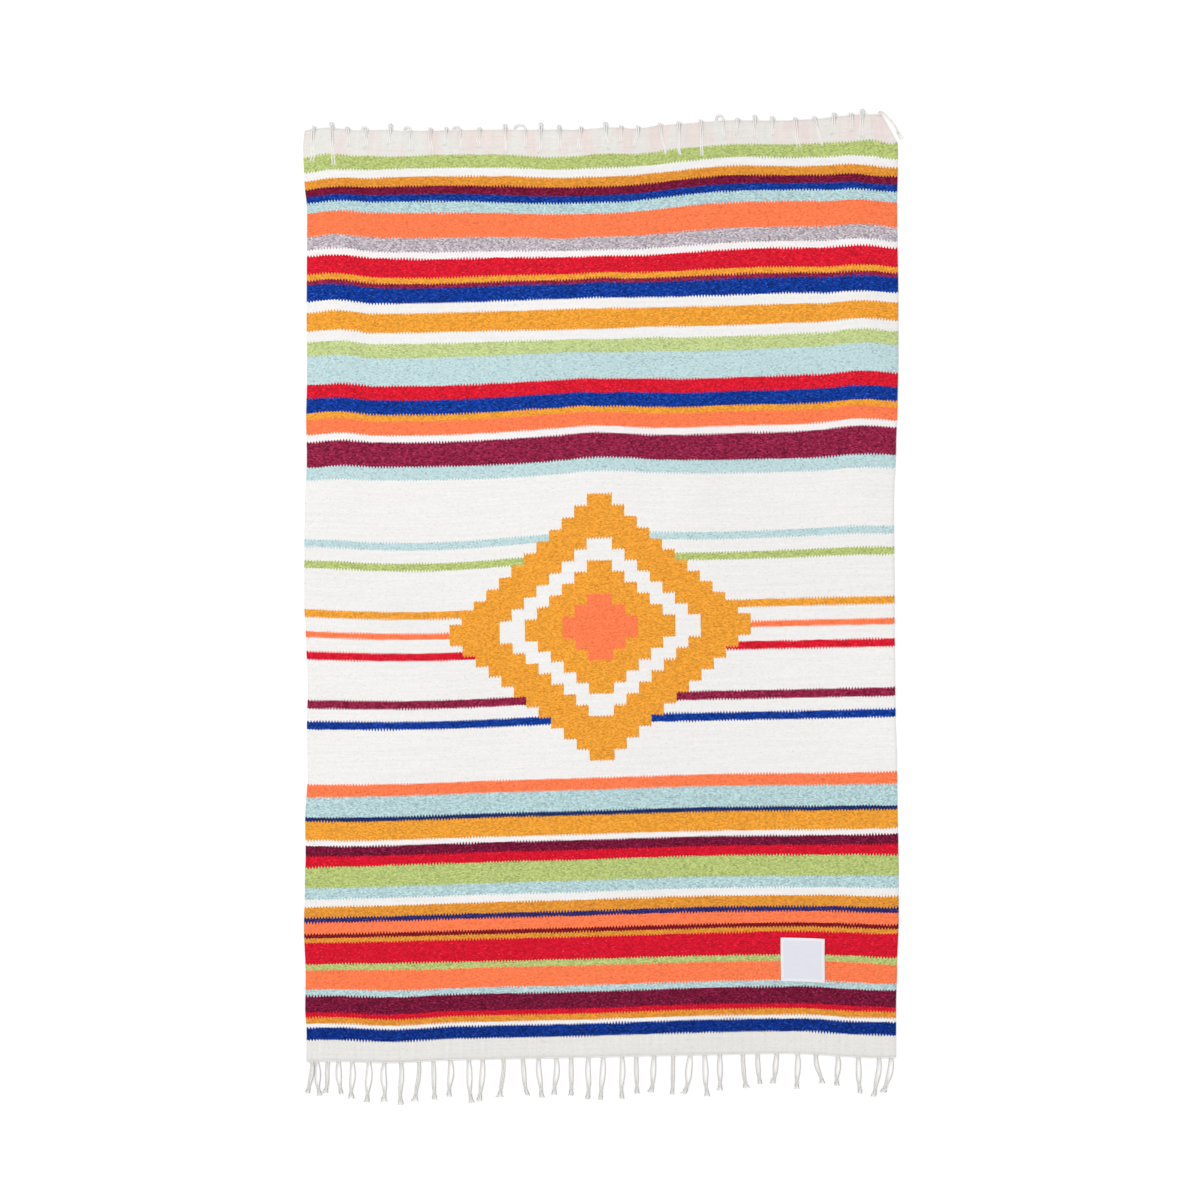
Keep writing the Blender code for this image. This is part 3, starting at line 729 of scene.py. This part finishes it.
def thread_material():
    graph = Graph("label_thread", roughness=0.7, sheen=0.05)
    twist = graph.noise(*graph.cloth_place(), "thread")
    graph.paint(graph.mix(twist, linear(THREAD_PALE), linear(THREAD_DIM)))
    graph.bump(twist, distance=0.0001, strength=0.5)
    return graph.material


def level_right(ahead):
    """The level directions to the right of those ahead."""
    return np.stack([ahead[:, 1], -ahead[:, 0], 0 * ahead[:, 2]], axis=-1)


def shell(shape, places, drawn, low, high, rim, curl=0.0):
    """A closed thin shell over a grid of places on the cloth, with a rounded rim.

    Drawn is a like grid, of where in its pattern each point is.
    """
    across, along = places
    top = cloth_points(across, along, high)
    bottom = cloth_points(across, along, low)
    top[..., 2] += curl
    bottom[..., 2] += curl
    drawn = np.stack(drawn, axis=-1).reshape(-1, 2)
    number = np.arange(across.size).reshape(across.shape)
    corners = [number[:-1, :-1], number[1:, :-1], number[1:, 1:], number[:-1, 1:]]
    quads = np.stack(corners, axis=-1).reshape(-1, 4)
    size = number.size
    ring = [number[:-1, 0], number[-1, :-1], number[:0:-1, -1], number[0, :0:-1]]
    ring = np.concatenate(ring)
    top = top.reshape(-1, 3)
    bottom = bottom.reshape(-1, 3)
    middle = (top[ring] + bottom[ring]) / 2
    ahead = middle - np.roll(middle, 1, axis=0) + np.roll(middle, -1, axis=0) - middle
    middle = middle + unit(level_right(ahead)) * rim
    rim_number = 2 * size + np.arange(len(ring))
    after = np.roll(ring, -1)
    rim_after = np.roll(rim_number, -1)
    lower = np.stack([ring, after, rim_after, rim_number], axis=-1)
    upper = np.stack([rim_number, rim_after, after + size, ring + size], axis=-1)
    points = np.concatenate([bottom, top, middle])
    faces = np.concatenate([quads[:, ::-1], quads + size, lower, upper])
    shape.add(points, faces, np.concatenate([drawn, drawn, drawn[ring]]))


def make_cloth():
    """The woven cloth, as a thin shell with its folds and creases."""
    across_lines = np.linspace(-1.0, 1.0, FINE_COLUMNS + 1) * (HALF_WIDTH - RIM_ROUND)
    along_lines = np.linspace(CLOTH_FOOT, CLOTH_HEAD, FINE_ROWS + 1)
    across, along = np.meshgrid(across_lines, along_lines, indexing="ij")
    banded = along - corner_drop(across, along)
    banded = banded - hump_sum(DRIFTS, "shift", across, banded)
    shape = Shape()
    shell(shape, (across, along), (across, banded), 0.0, CLOTH_WALL, RIM_ROUND)
    return shape.build("blanket_cloth", weave_material())


def smooth_path(stops, count):
    """A smooth curve through several points, in so many points of its own."""
    stops = np.asarray(stops, float)
    padded = np.concatenate([[2 * stops[0] - stops[1]], stops, [2 * stops[-1] - stops[-2]]])
    places = np.linspace(0, len(stops) - 1, count)
    piece = np.minimum(places.astype(int), len(stops) - 2)
    t = (places - piece)[:, None]
    a, b, c, d = (padded[piece + k] for k in range(4))
    return 0.5 * (
        2 * b + (c - a) * t + (2 * a - 5 * b + 4 * c - d) * t**2 + (3 * b - a - 3 * c + d) * t**3
    )


# The foot tassels: each root's place from the middle, its end's swing right, and its length
FOOT_TASSELS = table(
    "root lean length",
    (-598, -9, 64), (-588, 7, 69), (-565, -6, 64), (-543, 6, 66), (-515, -2, 75), (-480, -4, 81),
    (-448, -2, 79), (-414, 0, 86), (-377, -8, 81), (-347, 3, 79), (-312, -2, 74), (-274, 7, 88),
    (-245, -7, 85), (-202, -8, 78), (-162, 10, 75), (-129, 6, 80), (-93, -4, 75), (-62, 0, 77),
    (-26, -2, 85), (4, -5, 87), (43, 1, 86), (73, 1, 76), (110, -7, 74), (149, -2, 79),
    (185, -13, 79), (214, 7, 84), (246, 0, 73), (293, 8, 69), (324, 5, 61), (364, -10, 60),
    (407, -2, 71), (445, 14, 58), (490, -2, 60), (532, 5, 73), (575, -10, 79), (600, -17, 71),
)

# The head tassels, which turn over onto the face: each also has its reach past the edge, and the
# width of the arch that it makes on its way, or none where it folds straight over
HEAD_TASSELS = table(
    "root reach arch lean length",
    (-595, 4.5, 0, -2, 69), (-558, 9.5, 0, 7, 81), (-525, 2.6, 0, 4, 38), (-494, 4.5, 10, -3, 42),
    (-436, 10.5, 0, -4, 34), (-407, 5.5, 12, 3, 46), (-353, 3.6, 0, 2, 52), (-321, 4.4, 0, -3, 36),
    (-306, 5.5, 14, 4, 44), (-252, 2.8, 0, -2, 40), (-199, 8.5, 0, 3, 50), (-179, 8.5, 22, 2, 38),
    (-125, 11.5, 0, -1, 48), (-87, 5.5, 0, 5, 42), (-42, 3.5, 0, -5, 45), (9, 8.5, 0, 8, 47),
    (41, 2.6, 0, -2, 32), (76, 2.6, 0, -6, 44), (121, 3, 0, 13, 63), (160, 2.6, 0, 3, 67),
    (206, 2.6, 0, 4, 74), (238, 10.5, 14, 4, 40), (282, 2.6, 0, -3, 36), (318, 8.5, 0, -2, 44),
    (354, 5.5, 0, 3, 38), (401, 2.8, 0, 7, 70), (441, 3, 0, 17, 64), (482, 6, 0, -3, 40),
    (517, 2.6, 0, 2, 34), (540, 8.5, 0, -2, 46),
)

ACROSS = np.array([1.0, 0.0, 0.0])
UP = np.array([0.0, 0.0, 1.0])

# The plies of yarn that twist round each strand, and how they part and thin out at its end
PLIES = 3
PLY_RADIUS = 0.8
PLY_OFFSET = 0.8
PLY_SIDES = 6
PLY_PITCH = 13.0
STRAND_RADIUS = PLY_RADIUS + PLY_OFFSET
STRAND_STEPS = 46
STRAND_LIES = STRAND_RADIUS + 0.1
FRAY_SPREAD = (0.5, 2.2)
FRAY_SWAY = 2.2
THINNED = 0.35
THINNED_FROM = 0.85
OFF_FLOOR = 0.02

# A strand that runs across this much has its plies set out level
TURNED_ACROSS = 0.8

# How far apart two strands' fuzz starts, for each radian between their twists
FUZZ_APART = 90.0

# The yarn wound round a tassel as its knot
KNOT_TURNS = 2.1
KNOT_STEPS = 30
KNOT_SHADE = 0.62
KNOT_DRIFT = 1.7
KNOT_SLANT = 0.8
KNOT_OFF_FLOOR = 0.05

# The two yarns twined about each other along each end
CORD_RADIUS = 0.8
CORD_FLATNESS = 0.7
CORD_PITCH = 9.0
CORD_STEPS_A_TURN = 8
CORD_SIDES = 5
CORD_SHADE = 0.5


class Plies:
    """The plies of one fringe, whose tubes are made together."""

    def __init__(self, shape):
        self.shape = shape
        self.paths = []
        self.girths = []
        self.places = []

    def wind(self, path, chance, frayed_from, side, girth=1.0, side_shade=1.0):
        """Adds the plies that twist round a strand, and that part near its end.

        Girth and side shade say how thick the strand is, and how much painted shade its outer side
        gets, all along.
        """
        ahead = np.gradient(path, axis=0)
        lengths = np.linalg.norm(ahead, axis=1, keepdims=True)
        ahead = ahead / lengths
        travelled = np.cumsum(lengths[:, 0])
        share = np.linspace(0.0, 1.0, len(path))
        girth = girth + 0.0 * share
        wide = ACROSS - ahead * (ahead @ ACROSS)[:, None]
        turned = (np.abs(ahead @ ACROSS) > TURNED_ACROSS)[:, None]
        wide = unit(np.where(turned, np.cross(ahead, UP), wide))
        thick = np.cross(wide, ahead)
        fray = np.clip((share - frayed_from) / (1 - frayed_from), 0.0, 1.0)
        phase = chance.uniform(0, 2 * math.pi)
        for ply in range(PLIES):
            turn = phase + 2 * math.pi * (ply / PLIES + side * travelled / PLY_PITCH)
            spread = PLY_OFFSET * girth + fray * chance.uniform(*FRAY_SPREAD)
            lift = PLY_OFFSET * girth * (1 - fray / 2)
            sway = fray**2 * chance.uniform(-FRAY_SWAY, FRAY_SWAY)
            offset = wide * (np.cos(turn) * spread + sway)[:, None]
            # Painted shade: plies on the tassel's outer side get a larger share of the yarn's dark
            # grey
            outer = (0.5 + 0.5 * side * np.cos(turn)) * side_shade
            self.paths.append(path + offset + thick * (np.sin(turn) * lift)[:, None])
            self.girths.append(girth)
            self.places.append(np.stack([outer, travelled + FUZZ_APART * phase], axis=-1))

    def finish(self):
        """Makes the tubes. They thin out at their ends and lie no lower than the floor."""
        paths = np.array(self.paths)
        share = np.linspace(0, 1, paths.shape[1])
        near_end = np.clip((share - THINNED_FROM) / (1 - THINNED_FROM), 0, 1)
        radii = PLY_RADIUS * np.array(self.girths) * (1 - THINNED * near_end**2)
        paths[..., 2] = np.maximum(paths[..., 2], radii + OFF_FLOOR)
        self.shape.add_tubes(paths, radii, PLY_SIDES, np.array(self.places))


def edge_corners(along):
    """Where the solid wall's columns meet one end of the cloth."""
    across = np.array([across_line(number) for number in range(COLUMNS + 1)])
    return cloth_points(across, along, creased=False)


def tassel_root(corners, x, outwards):
    """The middle of a tassel's root, on the outer side of the twined edge."""
    y = np.interp(x, corners[:, 0], corners[:, 1])
    z = np.interp(x, corners[:, 0], corners[:, 2])
    return np.array([x, y + outwards * (SEAM_GAP + EDGE_DEPTH), z])


def twined_edge(shape, along, outwards):
    """Two yarns twined about each other along one end of the cloth."""
    turns = int(CLOTH_WIDTH / CORD_PITCH)
    places = np.linspace(-1.0, 1.0, turns * CORD_STEPS_A_TURN + 1)
    middle = cloth_points(places * (HALF_WIDTH - RIM_ROUND), along, CLOTH_WALL / 2)
    middle[:, 1] += outwards * (SEAM_GAP + EDGE_DEPTH / 2)
    paths = []
    for side in (0.0, math.pi):
        turn = np.arange(len(places)) * 2 * math.pi / CORD_STEPS_A_TURN + side
        path = middle.copy()
        path[:, 1] += np.cos(turn) * CORD_RADIUS
        path[:, 2] += np.sin(turn) * CORD_RADIUS * CORD_FLATNESS
        paths.append(path)
    places = np.stack([0 * middle[:, 0] + CORD_SHADE, middle[:, 0]], axis=-1)
    shape.add_tubes(paths, CORD_RADIUS, CORD_SIDES, np.array([places, places]))


def add_knot(shape, middle, ahead, chance, width=3.6, height=2.5, yarn=1.15):
    """A few tight turns of yarn about a tassel, by its half width and half height."""
    ahead = unit(np.asarray(ahead, float))
    wide = unit(np.cross(ahead, UP))
    turn = np.linspace(0, 2 * math.pi * KNOT_TURNS, KNOT_STEPS) + chance.uniform(0, 6)
    drift = np.linspace(-KNOT_DRIFT, KNOT_DRIFT, KNOT_STEPS) * yarn
    path = (
        np.asarray(middle, float)
        + wide * (np.cos(turn) * (width - yarn))[:, None]
        + UP * (np.sin(turn) * (height - yarn))[:, None]
        + ahead * (drift + KNOT_SLANT * np.cos(turn / 2))[:, None]
    )
    path[:, 2] = np.maximum(path[:, 2], yarn + KNOT_OFF_FLOOR)
    places = np.stack([0 * turn + KNOT_SHADE, turn + path[0, 0]], axis=-1)
    shape.add_tubes([path], yarn, PLY_SIDES, [places])


# How a foot strand runs, at shares of its length: beside the middle, and how it bows and splays
FOOT_RUN = (
    (0.00, 1.95, 0.0, 0.0), (0.17, 1.95, 0.7, 0.0), (0.40, 1.95, 1.0, 0.0), (0.60, 1.90, 0.6, 0.0),
    (0.74, 1.60, 0.0, 0.0), (0.80, 1.50, 0.0, 0.0), (0.87, 1.60, 0.0, 0.2), (1.00, 1.80, 0.0, 1.0),
)
KNOT_SHARE = 0.79
FRAY_SHARE = 0.83
WAVE = 1.6
ROOT_INSIDE = 2.0
UNEVEN_BOW = (0.3, 1.4)
KNOT_LIFT = 0.5


def swing(tassel, wave, share):
    """How far right of its root a foot tassel is, at a share of its length."""
    return tassel.lean * share**2 + wave * math.sin(2 * math.pi * share)


def make_foot_fringe(material):
    """The tassels that hang straight out at the foot, and their twined edge."""
    shape = Shape()
    twined_edge(shape, CLOTH_FOOT, -1)
    corners = edge_corners(CLOTH_FOOT)
    plies = Plies(shape)
    for number, tassel in enumerate(FOOT_TASSELS):
        chance = random.Random(FOOT_SEED + number)
        bow = chance.uniform(*FOOT_BOW)
        splay = chance.uniform(*FOOT_SPLAY)
        wave = chance.uniform(-WAVE, WAVE)
        root = tassel_root(corners, tassel.root, -1)
        for side in (-1, 1):
            stops = []
            uneven = chance.uniform(*UNEVEN_BOW)
            for share, beside, bowed, splayed in FOOT_RUN:
                out = side * (beside + bowed * bow * uneven + splayed * splay)
                out += swing(tassel, wave, share)
                back = ROOT_INSIDE if share == 0 else -tassel.length * share
                stops.append((root[0] + out, root[1] + back, STRAND_LIES))
            # The foot strands get the full painted shade on their outer sides
            plies.wind(smooth_path(stops, STRAND_STEPS), chance, FRAY_SHARE, side)
        middle = root + (swing(tassel, wave, KNOT_SHARE), -tassel.length * KNOT_SHARE, 0.0)
        middle[2] = STRAND_LIES + KNOT_LIFT
        ahead = (2 * tassel.lean * KNOT_SHARE / tassel.length, -1.0, 0.0)
        add_knot(shape, middle, ahead, chance)
    plies.finish()
    return shape.build("foot_fringe_yarn", material)


# How a head strand folds over: shares of its reach, and heights above the cloth's underside
FOLD_RUN = ((0.70, 1.5), (1.00, 3.6), (0.50, 5.8))

# How a head strand arches over: shares of its reach and of its arch's width, and heights
ARCH_RUN = (
    (0.50, 0.06, 1.5), (0.88, 0.26, 2.4), (1.00, 0.50, 3.6), (0.88, 0.74, 4.8), (0.45, 0.94, 5.6),
)
ARCH_BESIDE = 1.35
ARCH_GIRTH = 0.75
ROOT_UP = 1.2

# How a head strand then lies on the face: at shares of its length, how high above it
FACE_RUN = ((0.40, 0.80), (0.60, 0.00), (0.80, 0.15), (1.00, 0.70))
FACE_SWAY = 1.6
FACE_BESIDE = 1.1
FACE_PARTING = 2.4
FACE_GIRTH = 0.8
FACE_EASE = 0.7
# How much painted shade a head strand's outer side gets where it turns over the edge
HEAD_SIDE_SHADE = 0.8
HEAD_FRAY = 0.86

# A knot that shows at the edge: at what share of its tassel's reach, and how high
EDGE_KNOT_SHARE = 0.8
EDGE_KNOT_UP = 3.4


def fold_stops(root, tassel, side):
    """The points through which a strand folds straight over."""
    return [root + (side * STRAND_BESIDE, tassel.reach * reach, up) for reach, up in FOLD_RUN]


def arch_stops(root, tassel, side):
    """The points through which a strand arches over sideways."""
    line = [root] + [root + (tassel.arch * a, tassel.reach * r, up) for r, a, up in ARCH_RUN]
    line.append(root + (tassel.arch, -tassel.reach, ARCH_RUN[-1][2]))
    stops = []
    for before, place, after in zip(line, line[1:], line[2:]):
        ahead = after - before
        wide = np.array([ahead[1], -ahead[0], 0.0])
        stops.append(place + unit(wide) * side * ARCH_BESIDE)
    return stops


def make_head_fringe(material):
    """The tassels at the head, which turn over onto the face, and their twined edge."""
    shape = Shape()
    twined_edge(shape, CLOTH_HEAD, 1)
    corners = edge_corners(CLOTH_HEAD)
    plies = Plies(shape)
    for number, tassel in enumerate(HEAD_TASSELS):
        chance = random.Random(HEAD_SEED + number)
        root = tassel_root(corners, tassel.root, 1)
        sways = [chance.uniform(-FACE_SWAY, FACE_SWAY) for _ in FACE_RUN]
        parting = chance.uniform(0.0, FACE_PARTING)
        turned = -1 if tassel.arch else 1
        for side in (-1, 1):
            stops = [root + (side * STRAND_BESIDE, -ROOT_INSIDE, ROOT_UP)]
            stops += (arch_stops if tassel.arch else fold_stops)(root, tassel, side)
            past_edge = len(stops)
            for (share, above), sway in zip(FACE_RUN, sways):
                x = root[0] + tassel.arch + tassel.lean * share + sway
                spot = cloth_points(x, TWINED_LENGTH - tassel.length * share, CLOTH_WALL + above)
                spot[0] = x + turned * side * (FACE_BESIDE + parting * share)
                stops.append(spot)
            path = smooth_path(stops, STRAND_STEPS)
            place = np.linspace(0.0, len(stops) - 1, STRAND_STEPS)
            lying = np.clip((place - past_edge + FACE_EASE) / (2 * FACE_EASE), 0.0, 1.0)
            girth = ARCH_GIRTH if tassel.arch else 1.0
            girth = girth + (FACE_GIRTH - girth) * lying
            # The painted shade on the outer side fades out where the strand lies on the face
            side_shade = HEAD_SIDE_SHADE * (1.0 - lying)
            plies.wind(path, chance, HEAD_FRAY, side, girth, side_shade)
        if tassel.reach > KNOTTED_REACH and not tassel.arch:
            middle = root + (0.0, tassel.reach * EDGE_KNOT_SHARE, EDGE_KNOT_UP)
            add_knot(shape, middle, (0.0, 1.0, 0.0), chance, width=4.8, height=3.2, yarn=1.4)
    add_loose_tassel(shape, plies, corners)
    plies.finish()
    return shape.build("head_fringe_yarn", material)


# The last head tassel hangs loose past the slanted corner: sideways and outwards from its root,
# and how far each strand lies beside their middle
LOOSE_RUN = (
    (0.0, -2.5, 1.95), (1.5, 3.5, 1.35), (9.5, 2.0, 1.35), (20.5, -10.0, 1.6), (33.5, -25.5, 1.6),
    (39.5, -38.5, 1.6), (47.5, -53.0, 3.6),
)
LOOSE_KNOT_STEP = 38
LOOSE_GIRTH = 0.8
# How much painted shade the loose tassel's outer sides get
LOOSE_SIDE_SHADE = 0.5
LOOSE_FRAY = 0.88


def add_loose_tassel(shape, plies, corners):
    """The head tassel that hangs past the slanted corner."""
    chance = random.Random(HEAD_SEED + len(HEAD_TASSELS))
    root = tassel_root(corners, LOOSE_ROOT, 1)
    stops = [(root[0] + right, root[1] + out, STRAND_LIES) for right, out, _ in LOOSE_RUN]
    middle = smooth_path(stops, STRAND_STEPS)
    places = np.linspace(0.0, len(LOOSE_RUN) - 1, STRAND_STEPS)
    beside = np.interp(places, range(len(LOOSE_RUN)), [beside for _, _, beside in LOOSE_RUN])
    ahead = unit(np.gradient(middle, axis=0))
    for side in (-1, 1):
        path = middle + level_right(ahead) * side * beside[:, None]
        plies.wind(path, chance, LOOSE_FRAY, side, LOOSE_GIRTH, LOOSE_SIDE_SHADE)
    spot = middle[LOOSE_KNOT_STEP] + (0.0, 0.0, KNOT_LIFT)
    add_knot(shape, spot, ahead[LOOSE_KNOT_STEP], chance)


# The label's shell, puffed up between its stitches and curled at its edge
LABEL_GRID = 24
LABEL_CLEAR = 0.06
LABEL_PUFF = 0.6
LABEL_CURL = 0.35
CURLED_FROM = 0.94
LABEL_ROUND = 0.3
LABEL_SEED = 300

# Where a stitch runs, in shares of its length, and how high above the label
STITCH_RUN = ((-0.5, -0.35), (-0.3, 0.18), (0.0, 0.26), (0.3, 0.18), (0.5, -0.35))
STITCH_IN = 3.2
STITCH_LENGTH = 3.4
STITCH_GAP = 1.6
STITCH_RADIUS = 0.28
STITCH_SIDES = 5
STITCH_STRAY = 0.25


def label_places(across, along):
    """Places on the label, counted from its middle, as places on the cloth."""
    return (
        LABEL_ACROSS + across + LABEL_LEAN * along,
        LABEL_ALONG + along + LABEL_SLOPE * across,
    )


def out_on_label(across, along):
    """How far out a place on the label is: 0 in its middle and 1 at its edge."""
    return np.maximum(abs(across), abs(along)) / (LABEL_SIDE / 2)


def puff_at(out):
    """How far the label is puffed up, at a place this far out."""
    return LABEL_PUFF * (1 - out**4)


def make_label():
    """The plain square patch, lifted a little between its stitches."""
    lines = np.linspace(-0.5, 0.5, LABEL_GRID + 1) * LABEL_SIDE
    across, along = np.meshgrid(lines, lines, indexing="ij")
    out = out_on_label(across, along)
    curl = LABEL_CURL * np.clip((out - CURLED_FROM) / (1 - CURLED_FROM), 0, 1)
    shape = Shape()
    low = CLOTH_WALL + LABEL_CLEAR
    places = label_places(across, along)
    lift = puff_at(out) + curl
    shell(shape, places, (across, along), low, low + LABEL_WALL, LABEL_ROUND, lift)
    return shape.build("label_patch", label_material())


def make_label_stitches():
    """Short running stitches round the patch, just inside its edge."""
    shape = Shape()
    half = LABEL_SIDE / 2 - STITCH_IN
    count = int(2 * half / (STITCH_LENGTH + STITCH_GAP))
    chance = random.Random(LABEL_SEED)
    run, heights = np.array(STITCH_RUN).T
    heights = heights + CLOTH_WALL + LABEL_CLEAR + LABEL_WALL
    paths = []
    for way in range(4):
        turn = way * math.pi / 2
        for number in range(count):
            places = run * STITCH_LENGTH - half + (number + 0.5) * 2 * half / count
            out = half + chance.uniform(-STITCH_STRAY, STITCH_STRAY)
            x = places * math.cos(turn) - out * math.sin(turn)
            y = places * math.sin(turn) + out * math.cos(turn)
            points = cloth_points(*label_places(x, y))
            points[:, 2] += heights + puff_at(out_on_label(x, y))
            paths.append(points)
    shape.add_tubes(paths, STITCH_RADIUS, STITCH_SIDES)
    return shape.build("label_stitches", thread_material())


# The camera's height and reach are in metres, and its sensor's width in millimetres
CAMERA_HEIGHT = 7.0
CAMERA_SEES = 40.0
SENSOR_WIDTH = 36.0


def make_camera():
    """Straight above the blanket, as in the photograph."""
    middle = IMAGE_SIDE / 2
    x = (middle - FOOT_PIXEL[0]) * MM_PER_PIXEL
    y = (FOOT_PIXEL[1] - middle) * MM_PER_PIXEL
    centre = in_frame((x, y, 0.0))
    lens = bpy.data.cameras.new("camera")
    lens.sensor_width = SENSOR_WIDTH
    lens.lens = SENSOR_WIDTH * CAMERA_HEIGHT / (IMAGE_SIDE * MM_PER_PIXEL * METRES)
    lens.clip_end = CAMERA_SEES
    camera = put_in_scene("camera", lens)
    camera.location = (centre[0], centre[1], CAMERA_HEIGHT)
    bpy.context.scene.camera = camera


# The lamps face the middle: their places and sizes are in metres, and their power in watts
LAMPS = table(
    "name place size power",
    ("key", (-4.0, 3.0, 6.0), 4.0, 230.0),
    ("fill", (4.0, -3.0, 6.5), 5.0, 90.0),
)
SKY_STRENGTH = 0.76
FLOOR_REACH = 6.0
FLOOR_UNDER = 0.0005
WHITE = (1.0, 1.0, 1.0)


def make_stage():
    """A white floor and soft light from above."""
    mesh = bpy.data.meshes.new("floor")
    corners = ((-1, -1), (1, -1), (1, 1), (-1, 1))
    points = [(x * FLOOR_REACH, y * FLOOR_REACH, 0.0) for x, y in corners]
    mesh.from_pydata(points, [], [(0, 1, 2, 3)])
    graph = Graph("floor_paper", roughness=1.0, specular=0.0)
    graph.paint(WHITE)
    mesh.materials.append(graph.material)
    floor = put_in_scene("floor", mesh)
    floor.location.z = -FLOOR_UNDER

    world = bpy.data.worlds.new("soft_light")
    world.use_nodes = True
    sky = world.node_tree.nodes["Background"]
    sky.inputs["Color"].default_value = (*WHITE, 1.0)
    sky.inputs["Strength"].default_value = SKY_STRENGTH
    bpy.context.scene.world = world
    for lamp in LAMPS:
        light = bpy.data.lights.new(lamp.name, "AREA")
        light.size = lamp.size
        light.energy = lamp.power
        made = put_in_scene(lamp.name, light)
        made.location = lamp.place
        made.rotation_euler = (-Vector(lamp.place)).to_track_quat("-Z", "Y").to_euler()
    bpy.context.scene.view_settings.view_transform = "Standard"


def main():
    make_camera()
    make_stage()
    cloth = make_cloth()
    warp_yarn = yarn_material()
    foot_fringe = make_foot_fringe(warp_yarn)
    head_fringe = make_head_fringe(warp_yarn)
    label = make_label()
    stitches = make_label_stitches()

    for piece in (cloth, foot_fringe, head_fringe, label, stitches):
        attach(piece, "root")
    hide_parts("woven_panel")
    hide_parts("foot_fringe")
    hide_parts("head_fringe")
    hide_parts("sewn_label")


main()
